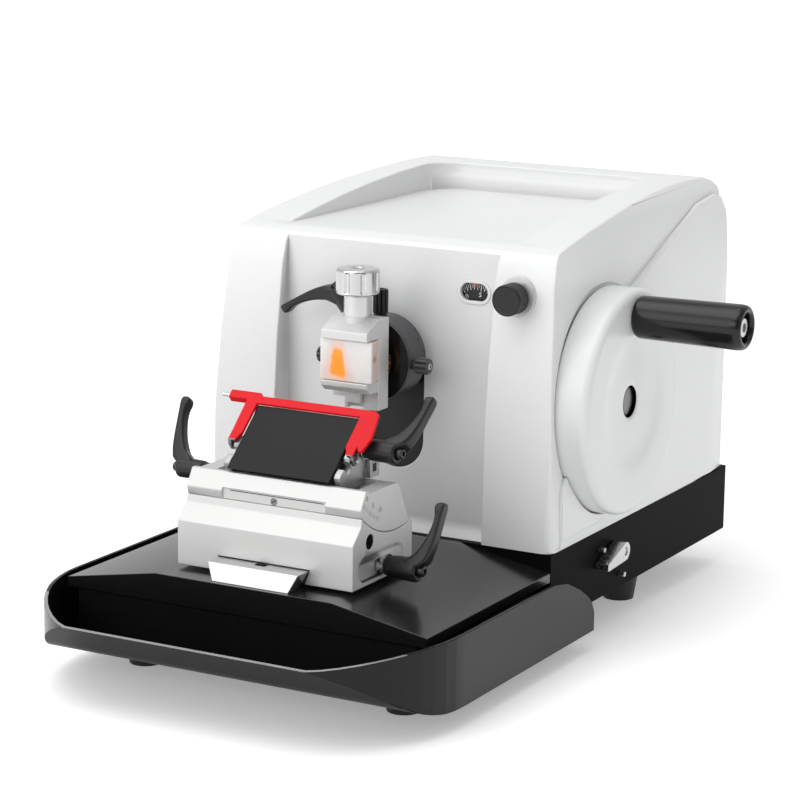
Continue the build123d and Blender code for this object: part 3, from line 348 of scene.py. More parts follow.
def block(bm, lo, hi, mtx=None, bev=0.0, seg=2):
    vs = [bm.verts.new(Vector((x, y, z))) for x in (lo[0], hi[0]) for y in (lo[1], hi[1]) for z in (lo[2], hi[2])]
    fs = [(0, 1, 3, 2), (4, 6, 7, 5), (0, 4, 5, 1), (2, 3, 7, 6), (0, 2, 6, 4), (1, 5, 7, 3)]
    faces = [bm.faces.new([vs[i] for i in f]) for f in fs]
    geo = list(vs)
    if bev > 0:
        es = list({e for f in faces for e in f.edges})
        r = bmesh.ops.bevel(bm, geom=es, offset=bev, offset_type="OFFSET", segments=seg, profile=0.5, affect="EDGES", clamp_overlap=True)
        geo = list(set(r["verts"]) | {v for v in vs if v.is_valid})
        geo = list({v for f in r["faces"] for v in f.verts} | {v for v in geo if v.is_valid})
        allv = set(geo)
        st = list(allv)
        while st:
            v = st.pop()
            for e in v.link_edges:
                o = e.other_vert(v)
                if o not in allv:
                    allv.add(o); st.append(o)
        geo = list(allv)
    if mtx:
        for v in geo:
            v.co = mtx @ v.co
    return bm


def spline_pts(pts, n):
    """Catmull-Rom through pts (tuples), n samples per span."""
    out = []
    P_ = [pts[0]] + list(pts) + [pts[-1]]
    for i in range(1, len(P_) - 2):
        p0, p1, p2, p3 = [Vector(q) for q in P_[i - 1:i + 3]]
        for k in range(n):
            t = k / n
            out.append(0.5 * ((2 * p1) + (p2 - p0) * t + (2 * p0 - 5 * p1 + 4 * p2 - p3) * t * t + (3 * p1 - p0 - 3 * p2 + p3) * t ** 3))
    out.append(Vector(pts[-1]))
    return out


def clamp_lever(name, origin, zdir, xdir, body, node, stud_in=0.0, collar=None, reach=1.0, hub=1.0):
    """Indexed clamping lever: turned hub along local z, curved tapering arm towards local x."""
    M = basis(origin, zdir, xdir)
    bm = bmesh.new()

    def ridges(z, r, t):
        if z < 0.35 and r > 5.0:
            return r - 0.35 * (0.5 - 0.5 * math.cos(20 * t))
        return r
    prof = [(-3.9, 4.6), (-3.7, 5.5), (-3.3, 5.85), (-2.0, 5.95), (-0.4, 6.0), (0.2, 6.1), (0.5, 6.4), (0.9, 6.7), (1.6, 6.85), (4.0, 6.95), (8.0, 7.1), (12.0, 7.25), (16.0, 7.38), (17.8, 7.4), (18.8, 7.28), (19.5, 6.9), (19.9, 6.3), (20.0, 5.5),
            (19.9, 4.8), (19.5, 4.5), (18.4, 4.35), (18.2, 4.0), (18.2, 0.05)]
    turned(bm, [(z, r * hub) for z, r in prof], n=120, mod=ridges, mtx=M, cap=False)
    # arm: (r, low z, top z, half width)
    pts4 = [(-1.5, 10.0, 18.6, 4.4), (1.0, 9.4, 20.4, 6.3), (3.2, 9.3, 23.4, 6.5), (5.2, 9.6, 25.6, 6.3), (7.4, 12.2, 26.6, 6.0), (10.5, 16.4, 27.6, 5.5), (14.0, 19.0, 28.6, 5.1), (18.0, 21.4, 29.5, 4.8), (22.0, 23.3, 30.2, 4.6),
            (27.0, 25.2, 30.9, 4.45), (32.0, 26.6, 31.6, 4.4), (36.5, 27.2, 32.2, 4.4), (39.5, 26.9, 32.7, 4.45), (42.0, 26.4, 33.0, 4.4), (44.2, 26.7, 33.0, 4.0), (45.5, 27.8, 32.5, 3.1), (46.2, 29.3, 31.3, 1.6)]
    pts4 = [(r_ if r_ < 6 else 6 + (r_ - 6) * reach, a_, b_, c_ * (1.0 if r_ > 8 else hub)) for r_, a_, b_, c_ in pts4]
    A3 = spline_pts([(p[0], p[1], p[2]) for p in pts4], 3)
    B3 = spline_pts([(p[0], p[3], 0.0) for p in pts4], 3)
    rings = []
    nn = 32
    for a3, b3 in zip(A3, B3):
        r_, lo_, hi_, hw = a3[0], a3[1], a3[2], b3[1]
        zc, hh = (lo_ + hi_) / 2, (hi_ - lo_) / 2
        ring = []
        for k in range(nn):
            t = 2 * math.pi * (k + 0.5) / nn
            c, s_ = math.cos(t), math.sin(t)
            ex = 0.46
            u = math.copysign(abs(c) ** ex, c) * hw
            v_ = math.copysign(abs(s_) ** ex, s_) * hh
            ring.append(bm.verts.new(M @ Vector((r_, u, zc + v_))))
        rings.append(ring)
    for A, B in zip(rings, rings[1:]):
        ring_faces(bm, A, B)
    bm.faces.new(list(reversed(rings[0]))); bm.faces.new(rings[-1])
    ob = mesh_obj(name, bm, "black_moulded", body, node, smooth=55.0)
    # screw in the hub, with a hexagon socket, and the metal below the hub
    bm = bmesh.new()
    turned(bm, [(17.6, 3.5 * hub), (23.0, 3.5 * hub), (23.6, 3.3 * hub), (24.0, 2.9 * hub), (24.1, 2.5), (24.1, 1.75)], n=48, mtx=M, cap=False)
    turned(bm, [(24.1, 1.75), (22.4, 1.6), (22.3, 0.05)], n=6, mtx=M, cap=False)
    mesh_obj(name + "_stud", bm, "screw_black", body, smooth=35.0)
    if stud_in > 0 or collar:
        bm = bmesh.new()
        if stud_in > 0:
            turned(bm, [(-stud_in, 2.9), (0.5, 2.9)], n=40, mtx=M)
        if collar:
            turned(bm, [(collar[0], collar[2] - 0.4), (collar[0] + 0.3, collar[2]), (collar[1] - 0.3, collar[2]), (collar[1], collar[2] - 0.4)], n=56, mtx=M)
        mesh_obj(name + "_shank", bm, "steel_bright", body, smooth=35.0)
    return ob


def text_mesh(bm, body, size, M, depth=0.05):
    """Adds a short plain number to bm; size is the height in mm, M places it (local x right, y up, z out)."""
    cu = bpy.data.curves.new("num", "FONT"); cu.body = body; cu.size = size; cu.extrude = depth / 2
    cu.align_x = "CENTER"; cu.align_y = "CENTER"; cu.offset = 0.0
    ob = bpy.data.objects.new("num", cu); COLL.objects.link(ob)
    bpy.context.view_layer.update()
    me = bpy.data.meshes.new_from_object(ob.evaluated_get(bpy.context.evaluated_depsgraph_get()))
    for v in me.vertices:
        v.co = M @ v.co
    bm.from_mesh(me)
    bpy.data.objects.remove(ob); bpy.data.curves.remove(cu); bpy.data.meshes.remove(me)


def lever_dir(v):
    v = Vector(v); return tuple(v.normalized())


BX1 = XC + 65.35; BX0 = XC - 65.35; HX1 = XC + 38.9; HX0 = XC - 38.9
KE = (-95.84, 175.06)
ANG = math.radians(41.3)


def sn(s_, n_):
    return (-97.2 - s_ * math.cos(ANG) - n_ * math.sin(ANG), 175.4 - s_ * math.sin(ANG) + n_ * math.cos(ANG))


clamp_lever("base_lever_v", (BX1 + 5.6, -111.8, 85.7), (1, 0, 0), (0, 0.25, 0.968), "base_lever", "base_clamp_lever", 6.0, (-9.0, -3.6, 5.4), reach=0.965, hub=1.07)
clamp_lever("segment_lever_v", (BX0 - 4.6, -112.0, 130.5), (-1, 0, 0), (0, 0.535, 0.845), "seg_lever", "segment_lever", 6.0, (-5.6, -3.6, 4.2), reach=1.06, hub=0.92)
clamp_lever("blade_lever_v", (HX1 + 9.2, -100.0, 157.0), (1, 0, 0), (0, 0.633, 0.774), "blade_lever", "blade_clamp_lever", 6.0, (-6.0, -3.6, 6.0), reach=0.885, hub=1.02)
clamp_lever("head_lever_v", (XC - 16.2 - 0.6 * 8.4, -3.0, 217.6 + 0.8 * 8.4), (-0.6, 0, 0.8), (-0.8, 0, -0.6), "head_lock", "head_lock_lever", 6.0)
# the cam shaft of the blade lever runs on through the block
bm = bmesh.new()
turned(bm, [(HX0 - 4.0, 3.7), (HX0 - 3.7, 3.97), (HX1 + 9.0, 3.97), (HX1 + 9.2, 3.7)], n=48, mtx=basis((0, -100.0, 157.0), (1, 0, 0)))
mesh_obj("blade_lever_shaft_v", bm, "steel_bright", "blade_lever", smooth=35.0)

# handwheel
WY, WZ = 87.2, 165.3
wp = [(147, 10.1), (131, 10.1), (131, 24), (143, 26), (146.0, 34), (146.5, 66), (143.0, 71.0), (127.9, 72.4), (127.3, 72.9), (127.2, 73.6), (127.2, 76.3), (127.4, 77.1), (128.0, 77.65), (128.9, 77.8),
      (140, 77.8), (146.4, 77.8), (148.1, 77.65), (149.6, 77.2), (150.9, 76.5), (151.9, 75.5), (152.6, 74.2), (152.95, 72.8), (153.05, 71.2), (153.05, 66), (153.0, 60), (152.95, 54), (152.8, 50.5), (152.4, 47.2), (151.8, 44.2),
      (151.2, 41.2), (150.7, 37.8), (150.35, 33.5), (150.1, 28.0), (149.95, 21), (149.85, 15), (149.6, 12.6), (149.0, 11.3), (148.2, 10.8), (147, 10.7)]
bm = bmesh.new()
MW = basis((0, WY, WZ), (1, 0, 0))
turned(bm, wp + [wp[0]], n=192, mtx=MW, cap=False)
bmesh.ops.remove_doubles(bm, verts=bm.verts, dist=1e-6)
MH = basis((0, 88.0, 224.5), (1, 0, 0))
turned(bm, [(143, 5.2), (143, 14.2), (150.6, 14.2), (151.6, 13.95), (152.5, 13.5), (153.2, 13.2), (153.3, 12.8), (153.3, 5.2)], n=96, mtx=MH, cap=False)
mesh_obj("handwheel_v", bm, "white_wheel", "crank", "handwheel", smooth=42.0)
bm = bmesh.new()
turned(bm, [(134.0, 0.05), (134.0, 10.05), (140.0, 10.05), (148.9, 10.9), (148.9, 10.4), (144.5, 9.6), (136.6, 9.5), (136.5, 0.05)], n=72, mtx=MW, cap=False)
mesh_obj("hub_bore_v", bm, "bore_dark", "crank", "hub_cap", smooth=30.0)

# handle
gp_ = [(153.45, 5.1), (153.45, 12.0), (153.6, 12.8), (154.2, 13.7), (155.2, 14.3), (156.8, 14.65), (165, 14.75), (180, 14.95), (200, 15.2), (218, 15.45), (225.5, 15.55), (228.4, 15.4), (230.2, 14.9), (231.3, 14.1), (231.9, 13.0),
       (232.0, 12.0), (231.8, 11.1), (231.2, 10.4), (230.2, 9.9), (228.8, 9.6), (227.0, 9.45), (226.4, 9.2), (226.2, 8.6), (226.2, 5.1)]
bm = bmesh.new()
turned(bm, spline_pts([(a_, b_, 0) for a_, b_ in gp_[1:-1]], 2) and [gp_[0]] + [(v.x, v.y) for v in spline_pts([(a_, b_, 0) for a_, b_ in gp_[1:-2]], 2)] + gp_[-2:] + [gp_[0]], n=120, mtx=MH, cap=False)
bmesh.ops.remove_doubles(bm, verts=bm.verts, dist=1e-6)
mesh_obj("handle_grip_v", bm, "black_gloss", "grip", "handle_grip", smooth=45.0)
bm = bmesh.new()
turned(bm, [(143.5, 4.9), (226.6, 4.9), (226.6, 6.4), (226.9, 6.6), (228.9, 6.6), (229.4, 6.3), (229.6, 5.8), (229.6, 3.1)], n=64, mtx=MH, cap=False)
turned(bm, [(229.6, 3.1), (227.6, 2.9), (227.5, 0.05)], n=6, mtx=MH, cap=False)
mesh_obj("handle_screw_v", bm, "steel_bright", "crank", "handle_spindle", smooth=35.0)

# thickness knob
MK = basis((99.9, 0, 244.1), (0, -1, 0), (1, 0, 0))


def knurl(n_, dep, z0, z1):
    def f(z, r, t):
        if z0 < z < z1:
            e = min(1.0, (z - z0) / 0.35, (z1 - z) / 0.35)
            return r - dep * e * (0.5 - 0.5 * math.cos(n_ * t))
        return r
    return f


bm = bmesh.new()
kp = [(-7.1, 4.1), (-7.1, 9.8), (-6.8, 10.2), (-6.3, 10.45), (-5.0, 10.55), (-4.6, 10.55), (-4.2, 10.55), (0.0, 10.55), (4.7, 10.55), (5.1, 10.55), (5.5, 10.55), (5.8, 10.5), (6.2, 10.3), (6.5, 9.95), (6.6, 9.6), (6.58, 9.3), (6.42, 9.1), (6.38, 8.8), (6.36, 5.0), (6.36, 0.05)]
turned(bm, kp, n=384, mod=knurl(48, 0.5, -4.9, 5.3), mtx=MK, cap=False)
mesh_obj("thickness_knob_v", bm, "black_moulded", "knob", "thickness_knob", smooth=50.0)

# clamp knob, neck and screw
MC = basis((XC, -34.4, 0), (0, 0, 1), (1, 0, 0))


def pads(z, r, t):
    if 245.6 < z < 259.6 and r > 12:
        e = min(1.0, (z - 245.6) / 0.8, (259.6 - z) / 0.8)
        u = (t / (2 * math.pi) * 8 + 0.5) % 1.0
        d_ = abs(u - 0.5) * 2 * math.pi * r / 8
        w_ = 2.0
        if d_ < w_:
            return r - 1.15 * e * (math.cos(math.pi * d_ / (2 * w_)) ** 0.6)
    return r


bm = bmesh.new()
turned(bm, [(244.0, 8.0), (244.0, 13.3), (244.3, 14.0), (244.9, 14.4), (245.5, 14.5), (245.9, 14.5), (246.4, 14.5), (247.0, 14.5), (252.0, 14.5), (258.4, 14.5), (258.9, 14.5), (259.4, 14.5), (259.8, 14.48), (260.4, 14.2), (260.9, 13.7), (261.2, 12.9),
            (261.2, 7.0), (261.15, 4.9), (260.9, 4.5), (260.5, 4.3), (260.45, 3.6), (260.3, 3.3), (259.3, 3.2), (259.2, 0.05)], n=256, mod=pads, mtx=MC, cap=False)
mesh_obj("clamp_knob_v", bm, "aluminium", "clamp_screw", "clamp_knob", smooth=38.0)
bm = bmesh.new()
turned(bm, [(229.45, 2.0), (229.45, 9.1), (229.5, 9.15), (230.4, 9.15), (242.6, 9.15), (243.3, 8.9), (243.6, 8.4), (244.2, 8.1)], n=96, mtx=MC, cap=False)
turned(bm, [(173.0, 1.8), (230.0, 1.8)], n=32, mtx=MC)
mesh_obj("clamp_neck_v", bm, "aluminium", "clamp_screw", smooth=38.0)

# tilt knobs: star knurled
def star(n_, dep, z0, z1):
    def f(z, r, t):
        if z0 < z < z1 and r > 3.6:
            e = min(1.0, (z - z0) / 0.5, (z1 - z) / 0.5)
            c = 0.5 - 0.5 * math.cos(n_ * t)
            return r - dep * e * (c ** 2.2)
        return r
    return f


bm = bmesh.new()
MT_ = basis((XC, -3.0, 196.0), (0, 0, 1), (1, 0, 0))
turned(bm, [(15.0, 3.0), (26.4, 3.0), (26.4, 4.3), (26.9, 4.6), (28.6, 4.6), (29.1, 4.3), (29.2, 3.6), (29.7, 3.6), (29.8, 4.4), (30.3, 4.9), (30.9, 5.1), (31.6, 5.15), (38, 5.15), (44.8, 5.15), (45.5, 5.1), (46.0, 4.9), (46.5, 4.4), (46.7, 3.8), (46.7, 2.6), (46.2, 2.4)], n=200, mod=star(10, 1.5, 30.1, 46.6), mtx=MT_)
mesh_obj("tilt_knob_top_v", bm, "black_moulded", "top_knob", "tilt_knob_top", smooth=40.0)
for sg, nm in ((1, "r"), (-1, "l")):
    MS = basis((XC - (3.0 if sg < 0 else 0.0), -8.4, 194.5), (sg, 0, 0), (0, 0, 1))
    bm = bmesh.new()
    turned(bm, [(15.0, 3.0), (28.9, 3.0), (29.0, 3.3), (30.2, 3.5), (30.9, 4.4), (31.4, 5.2), (31.9, 5.55), (32.4, 5.6), (33.0, 5.6), (36, 5.6), (39.4, 5.6), (40.0, 5.6), (40.5, 5.4), (40.9, 4.9), (41.15, 4.2), (41.2, 2.8), (40.7, 2.6), (39.4, 2.4), (39.3, 0.05)],
           n=180, mod=star(9, 1.5, 31.4, 40.7), mtx=MS, cap=False)
    mesh_obj("tilt_knob_side_" + nm + "_v", bm, "grey_dark", "side_knobs", "tilt_knobs_side", smooth=40.0)
    bm = bmesh.new()
    turned(bm, [(39.2, 2.35), (41.25, 2.35), (41.45, 2.1), (41.45, 1.3), (40.2, 1.2), (40.2, 0.05)], n=36, mtx=MS, cap=False)
    mesh_obj("tilt_knob_tip_" + nm + "_v", bm, "steel_bright", "side_knobs", smooth=35.0)

# wax, tissue
def stain(name, base, inner):
    """The sample's own stained orange, with a painted glow of light scattered through the wax spreading round it: soft
    trapezium in part coordinates.
    """
    m = mat(name, base, 0.38 if not inner else 0.42, mottle=(150.0, 0.04), grain=(900.0, 0.12), bump=(420.0, 0.35, 0.0003), sss=0.0)
    nt = m.node_tree; N, L = nt.nodes, nt.links; b_ = N["Principled BSDF"]
    src = b_.inputs["Base Color"].links[0].from_socket
    tc = N.new("ShaderNodeTexCoord"); sp_ = N.new("ShaderNodeSeparateXYZ"); L.new(tc.outputs["Object"], sp_.inputs[0])
    c0 = D(XC - 6.0, -49.6, 199.4)

    def math_(op, a_, b2=None, c2=None):
        n_ = N.new("ShaderNodeMath"); n_.operation = op
        for i_, v_ in enumerate((a_, b2, c2)):
            if v_ is None:
                continue
            if isinstance(v_, (int, float)):
                n_.inputs[i_].default_value = v_
            else:
                L.new(v_, n_.inputs[i_])
        return n_.outputs[0]
    nz = N.new("ShaderNodeTexNoise"); nz.inputs["Scale"].default_value = 260.0; nz.inputs["Detail"].default_value = 3.0
    L.new(tc.outputs["Object"], nz.inputs["Vector"])
    wob = math_("MULTIPLY_ADD", nz.outputs["Fac"], 0.0020, -0.0010)
    dx = math_("ABSOLUTE", math_("ADD", math_("SUBTRACT", sp_.outputs["X"], c0.x), wob))
    dz = math_("SUBTRACT", math_("MULTIPLY_ADD", math_("SUBTRACT", sp_.outputs["X"], c0.x), 0.16, sp_.outputs["Z"]), c0.z)
    hw = math_("MULTIPLY_ADD", dz, -0.16, 0.0050)
    hw = math_("MAXIMUM", hw, 0.0026)
    a_ = math_("DIVIDE", dx, hw)
    b2 = math_("DIVIDE", math_("ABSOLUTE", math_("ADD", dz, wob)), 0.0096)
    d_ = math_("POWER", math_("ADD", math_("POWER", a_, 5.0), math_("POWER", b2, 5.0)), 0.2)

    def smooth(v_, lo, hi, t0, t1):
        r_ = N.new("ShaderNodeMapRange"); r_.interpolation_type = "SMOOTHSTEP"
        r_.inputs["From Min"].default_value = lo; r_.inputs["From Max"].default_value = hi
        r_.inputs["To Min"].default_value = t0; r_.inputs["To Max"].default_value = t1
        L.new(v_, r_.inputs["Value"]); return r_.outputs["Result"]

    def mixc(f_, a3, b3):
        x_ = N.new("ShaderNodeMix"); x_.data_type = "RGBA"
        if isinstance(f_, float):
            x_.inputs[0].default_value = f_
        else:
            L.new(f_, x_.inputs[0])
        for i_, v_ in ((6, a3), (7, b3)):
            if isinstance(v_, tuple):
                x_.inputs[i_].default_value = (*v_, 1)
            else:
                L.new(v_, x_.inputs[i_])
        return x_.outputs[2]
    side = smooth(sp_.outputs["Y"], D(0, -49.4, 0).y, D(0, -47.6, 0).y, 0.0, 0.9)
    src = mixc(side, src, (0.60, 0.46, 0.40))
    glow_halo = mixc(smooth(d_, 0.95, 2.6, 0.85, 0.0), src, (0.88, 0.60, 0.50))
    core = mixc(smooth(d_, 0.80, 1.22, 1.0, 0.0), glow_halo, (1.0, 0.31, 0.02))
    core = mixc(smooth(d_, 0.0, 0.9, 0.75, 0.0), core, (1.0, 0.235, 0.0))
    L.new(core, b_.inputs["Base Color"])
    # painted glow: the stained spot emits a weak light of its own colour, standing in for light passing through the
    # wax behind it
    L.new(core, b_.inputs["Emission Color"])
    L.new(smooth(d_, 0.6, 1.3, 0.24, 0.0), b_.inputs["Emission Strength"])
    return m


WAX = stain("wax_glow", (0.80, 0.785, 0.76), False)
TIS = stain("tissue_stain_glow", (0.95, 0.3, 0.05), True)
bm = bmesh.new()
block(bm, (XC - 19.6, -49.8, 187.05), (XC + 19.6, -42.3, 214.9), bev=0.9, seg=4)
for v in bm.verts:
    v.co = D(*v.co)
    c = v.co - D(XC, -46.0, 201.1)
mesh_obj("wax_block_v", bm, WAX, "yaw", "wax_block", smooth=40.0)
bm = bmesh.new()
tp = [(-9.6, 208.6), (-2.6, 208.4), (0.9, 190.4), (-12.6, 192.6)]
fr = [bm.verts.new(D(XC + x_, -49.64, z_)) for x_, z_ in tp]
bk = [bm.verts.new(D(XC + x_, -46.0, z_)) for x_, z_ in tp]
bm.faces.new(fr); bm.faces.new(list(reversed(bk))); ring_faces(bm, fr, bk)
bmesh.ops.bevel(bm, geom=[e for e in bm.edges], offset=0.0008, offset_type="OFFSET", segments=3, profile=0.5, affect="EDGES", clamp_overlap=True)
mesh_obj("tissue_v", bm, TIS, "yaw", "tissue_sample", smooth=50.0)

# thickness window: ticks, numbers and the red pointer
DIALC = (63.0, 225.6621992)
bm = bmesh.new()
for i in range(90):
    t = math.radians(-30.5 + 4.0 * i)
    long_ = i % 2 == 0
    big_ = i % 10 == 0
    r0_, r1_ = (17.4 if big_ else 18.0 if long_ else 19.4), 22.6
    hw_ = 0.24 if long_ else 0.16
    Mt = basis((DIALC[0], 24.0, DIALC[1]), (0, -1, 0), (math.cos(t), 0, -math.sin(t)))
    # local x is tangential, local y is radial up
    ly = Mt.to_3x3() @ Vector((0, 1, 0))
    sgn = 1 if ly.z * math.cos(t) + ly.x * math.sin(t) > 0 else -1
    block(bm, (-hw_, sgn * (r0_ if sgn > 0 else r1_), -0.02), (hw_, sgn * (r1_ if sgn > 0 else r0_), 0.06), mtx=Mt)
    if big_:
        Mn = Mt @ Matrix.Translation((0, sgn * 14.7, 0.03))
        text_mesh(bm, str(i // 2), 4.4, Mn, 0.06)
mesh_obj("dial_marks_v", bm, "white_ink", "dial", smooth=30.0)
bm = bmesh.new()
for (x0_, x1_, z0_, z1_) in ((-1.7, 1.7, 6.3, 6.3),):
    A_ = [bm.verts.new(D(63.0 + x_, 21.3, 242.5 + z_)) for x_, z_ in ((-1.3, 6.3), (1.3, 6.3), (0.0, 2.6))]
    B_ = [bm.verts.new(D(63.0 + x_, 22.5, 242.5 + z_)) for x_, z_ in ((-1.3, 6.3), (1.3, 6.3), (0.0, 2.6))]
    bm.faces.new(A_); bm.faces.new(list(reversed(B_))); ring_faces(bm, A_, B_)
mesh_obj("pointer_v", bm, "red_ink", "frame", smooth=30.0)

def split_material(ob, second, test):
    """Faces of ob whose centre passes test take a second material."""
    ob.data.materials.append(MT[second])
    k = len(ob.data.materials) - 1
    for p_ in ob.data.polygons:
        if test(p_.center, p_.normal):
            p_.material_index = k


def cut_plane(s0, nrm):
    def f(bm):
        bmesh.ops.bisect_plane(bm, geom=list(bm.verts) + list(bm.edges) + list(bm.faces), plane_co=s0, plane_no=nrm, clear_inner=False, clear_outer=False)
    return f


DONE = {"base_clamp_lever", "segment_lever", "blade_clamp_lever", "head_lock_lever", "handwheel", "hub_cap", "handle_grip", "handle_spindle", "thickness_knob", "clamp_knob",
        "tilt_knob_top", "tilt_knobs_side", "wax_block", "tissue_sample"}
DEFAULT = dict(width=0.0004)


def narrow_cassette(bm):
    x0 = D(XC, 0, 0).x
    for v in bm.verts:
        d_ = v.co.x - x0
        if abs(d_) > 0.0150:
            v.co.x = x0 + math.copysign(abs(d_) - 0.0022, d_)


def slim_boss(bm):
    c0 = D(XC, -34.4, 222.0)
    for v in bm.verts:
        d_ = Vector((v.co.x - c0.x, v.co.y - c0.y))
        if v.co.z > 0.22195 and 0.0092 < d_.length < 0.0100:
            d2 = d_.normalized() * 0.00915
            v.co.x, v.co.y = c0.x + d2.x, c0.y + d2.y


def tray_belly(bm):
    """The sloping front runs into the flat underside in a long soft curve."""
    y0, y1, yc, z0, zc = -206.0, -158.0, -183.0, 53.0 - 0.65 * 37.0, 14.0
    for k in range(17):
        y_ = y0 + (y1 - y0) * k / 16.0
        bmesh.ops.bisect_plane(bm, geom=list(bm.verts) + list(bm.edges) + list(bm.faces), dist=1e-6, plane_co=D(0, y_, 0), plane_no=(0, 1, 0))
    for v in bm.verts:
        y_ = v.co.y * 1000 - OFF.y
        z_ = v.co.z * 1000
        if y0 < y_ < y1 and z_ < (53.0 - 0.65 * (y_ + 243.0) if y_ < yc else 14.0) + 3.9:
            # quadratic curve through (y0, z0), (yc, zc), (y1, 14)
            a_, b_, c_ = y0 - 2 * yc + y1, 2 * (yc - y0), y0 - y_
            t = -c_ / b_ if abs(a_) < 1e-9 else (-b_ + math.sqrt(max(0.0, b_ * b_ - 4 * a_ * c_))) / (2 * a_)
            zz = (1 - t) ** 2 * z0 + 2 * t * (1 - t) * zc + t * t * 14.0
            base_ = 53.0 - 0.65 * (y_ + 243.0) if y_ < yc else 14.0
            v.co.z += (zz - base_) * 0.001


def rail_end(bm):
    """Rear corners of the rail taken off."""
    for sg in (1, -1):
        bmesh.ops.bisect_plane(bm, geom=list(bm.verts) + list(bm.edges) + list(bm.faces), dist=1e-6, plane_co=D(XC + sg * 23.0, 0, 0), plane_no=(1, 0, 0))
    for v in bm.verts:
        d_ = abs(v.co.x * 1000 - OFF.x - XC)
        if v.co.y > D(0, -8.0, 0).y and d_ > 23.5:
            v.co.y -= 0.0125 * min(1.0, (d_ - 23.0) / 8.0)


def convex(e):
    """Outside edges of the cover, without its bottom rim."""
    try:
        return e.calc_face_angle_signed(0.0) > 0 and max(v.co.z for v in e.verts) > 0.0765
    except ValueError:
        return False


def carve(ob, cutter, material):
    """Cuts a pocket into a finished piece; the cut faces take their own material."""
    bmesh.ops.recalc_face_normals(cutter, faces=cutter.faces)
    cm = bpy.data.meshes.new("cutter"); cutter.to_mesh(cm); cutter.free()
    cm.materials.append(MT[material])
    co_ = bpy.data.objects.new("cutter", cm); COLL.objects.link(co_)
    tmp = bpy.data.objects.new("carved", ob.data.copy()); COLL.objects.link(tmp)
    md = tmp.modifiers.new("cut", "BOOLEAN"); md.operation = "DIFFERENCE"; md.solver = "EXACT"; md.object = co_
    md.material_mode = "TRANSFER"
    bpy.context.view_layer.update()
    me = bpy.data.meshes.new_from_object(tmp.evaluated_get(bpy.context.evaluated_depsgraph_get()))
    if len(me.polygons) > len(ob.data.polygons) * 0.5:
        ob.data = me
        me.set_sharp_from_angle(angle=math.radians(50.0))
    bpy.data.objects.remove(tmp); bpy.data.objects.remove(co_)


def obround(bm, x0, x1, y0, y1, zc, r, n=24, ch=0.0):
    """Slot-shaped prism along x: ends rounded about (y0, zc) and (y1, zc)."""
    pts = [(y0 + r * math.cos(math.radians(90 + 180 * k / n)), zc + r * math.sin(math.radians(90 + 180 * k / n))) for k in range(n + 1)]
    pts += [(y1 + r * math.cos(math.radians(-90 + 180 * k / n)), zc + r * math.sin(math.radians(-90 + 180 * k / n))) for k in range(n + 1)]
    A_ = [bm.verts.new(D(x0, a_, b_)) for a_, b_ in pts]
    B_ = [bm.verts.new(D(x1, a_, b_)) for a_, b_ in pts]
    bm.faces.new(A_); bm.faces.new(list(reversed(B_))); ring_faces(bm, A_, B_)


SPECIAL = {
    "cover_shell": dict(width=0.0012, angle=32.0, seg=3, pick=convex, clamp=False),
    "section_tray": dict(width=0.0005, post=tray_belly),
    "apron_plate": dict(width=0.0006),
    "holder_rail": dict(width=0.0004, post=rail_end),
    "base_casting": dict(width=0.0008),
    "scale_bezel": dict(width=0.0005, seg=3, material="white_shell"),
    "balance_spring": None,
    "blade": dict(width=0.00005),
    "tissue_cassette": dict(width=0.0006, seg=3, post=narrow_cassette),
    "blade_guard": dict(width=0.0006, seg=3),
    "clamp_body": dict(width=0.0005, seg=3, post=slim_boss),
    "holder_base": dict(width=0.0006, seg=3),
    "tilt_segment": dict(width=0.0006, seg=3),
}
PIECE = {}
for n in NODES:
    if n in DONE:
        continue
    sp = SPECIAL.get(n, DEFAULT)
    if sp is None:
        NODES[n].data.materials.clear()
        NODES[n].data.materials.append(MT[SLOT[n]])
        continue
    PIECE[n] = skin(n, **sp)

# the guard's hinge lugs are bare steel below the red legs
DOWN = Vector((0, -math.cos(ANG), -math.sin(ANG)))
g0 = D(XC, *sn(27.4, 0.0))
split_material(PIECE["blade_guard"], "steel_dark", lambda c, n_: (c - g0).dot(DOWN) > 0)
# painted shade: the apron's front drop into the tray takes a darker, less glossy copy of the black
split_material(PIECE["apron_plate"], "tray_inside_shade", lambda c, n_: n_.y < -0.6)
# the tray: painted shade inside (a darker, less glossy copy of the black); on the upper front edge a lighter grey
# under a gloss coat, a real reflection strengthened by a painted highlight
def tray_in(c, n_):
    if n_.z > 0.45:
        return not (n_.y < 0.25 and c.z > 0.036)
    q = Vector((c.x, c.y + 0.205))
    if abs(n_.z) < 0.45 and c.y < D(0, -60.0, 0).y:
        lim = q.x * n_.x + (q.y * n_.y if c.y < -0.175 else 0.0)
        return lim < 0
    return False


split_material(PIECE["section_tray"], "tray_inside_shade", tray_in)
# painted shade: the downward-facing front slope takes a less reflective copy of the tray black, standing for the
# shadowed floor it faces
split_material(PIECE["section_tray"], "tray_under_shade", lambda c, n_: n_.z < -0.3 and c.y < D(0, -182.0, 0).y)
split_material(PIECE["section_tray"], "tray_rim_highlight", lambda c, n_: n_.z > 0.45 and n_.y < 0.25 and c.z > 0.036 and c.y < D(0, -196.0, 0).y)
# the specimen head: gloss black face, dark grey rim
split_material(PIECE["head_disc"], "grey_dark", lambda c, n_: abs(n_.y) < 0.5 and (Vector((c.x, 0, c.z)) - Vector((D(XC, 0, 0).x, 0, 0.196))).length > 0.02)
# black port in the right end of the base, dark inside
split_material(PIECE["holder_base"], "black_matte", lambda c, n_: c.x > D(BX1 - 13, 0, 0).x and c.x < D(BX1 - 0.8, 0, 0).x and (Vector((c.y, c.z)) - Vector((D(0, -130.3, 0).y, 0.105))).length < 0.0052)

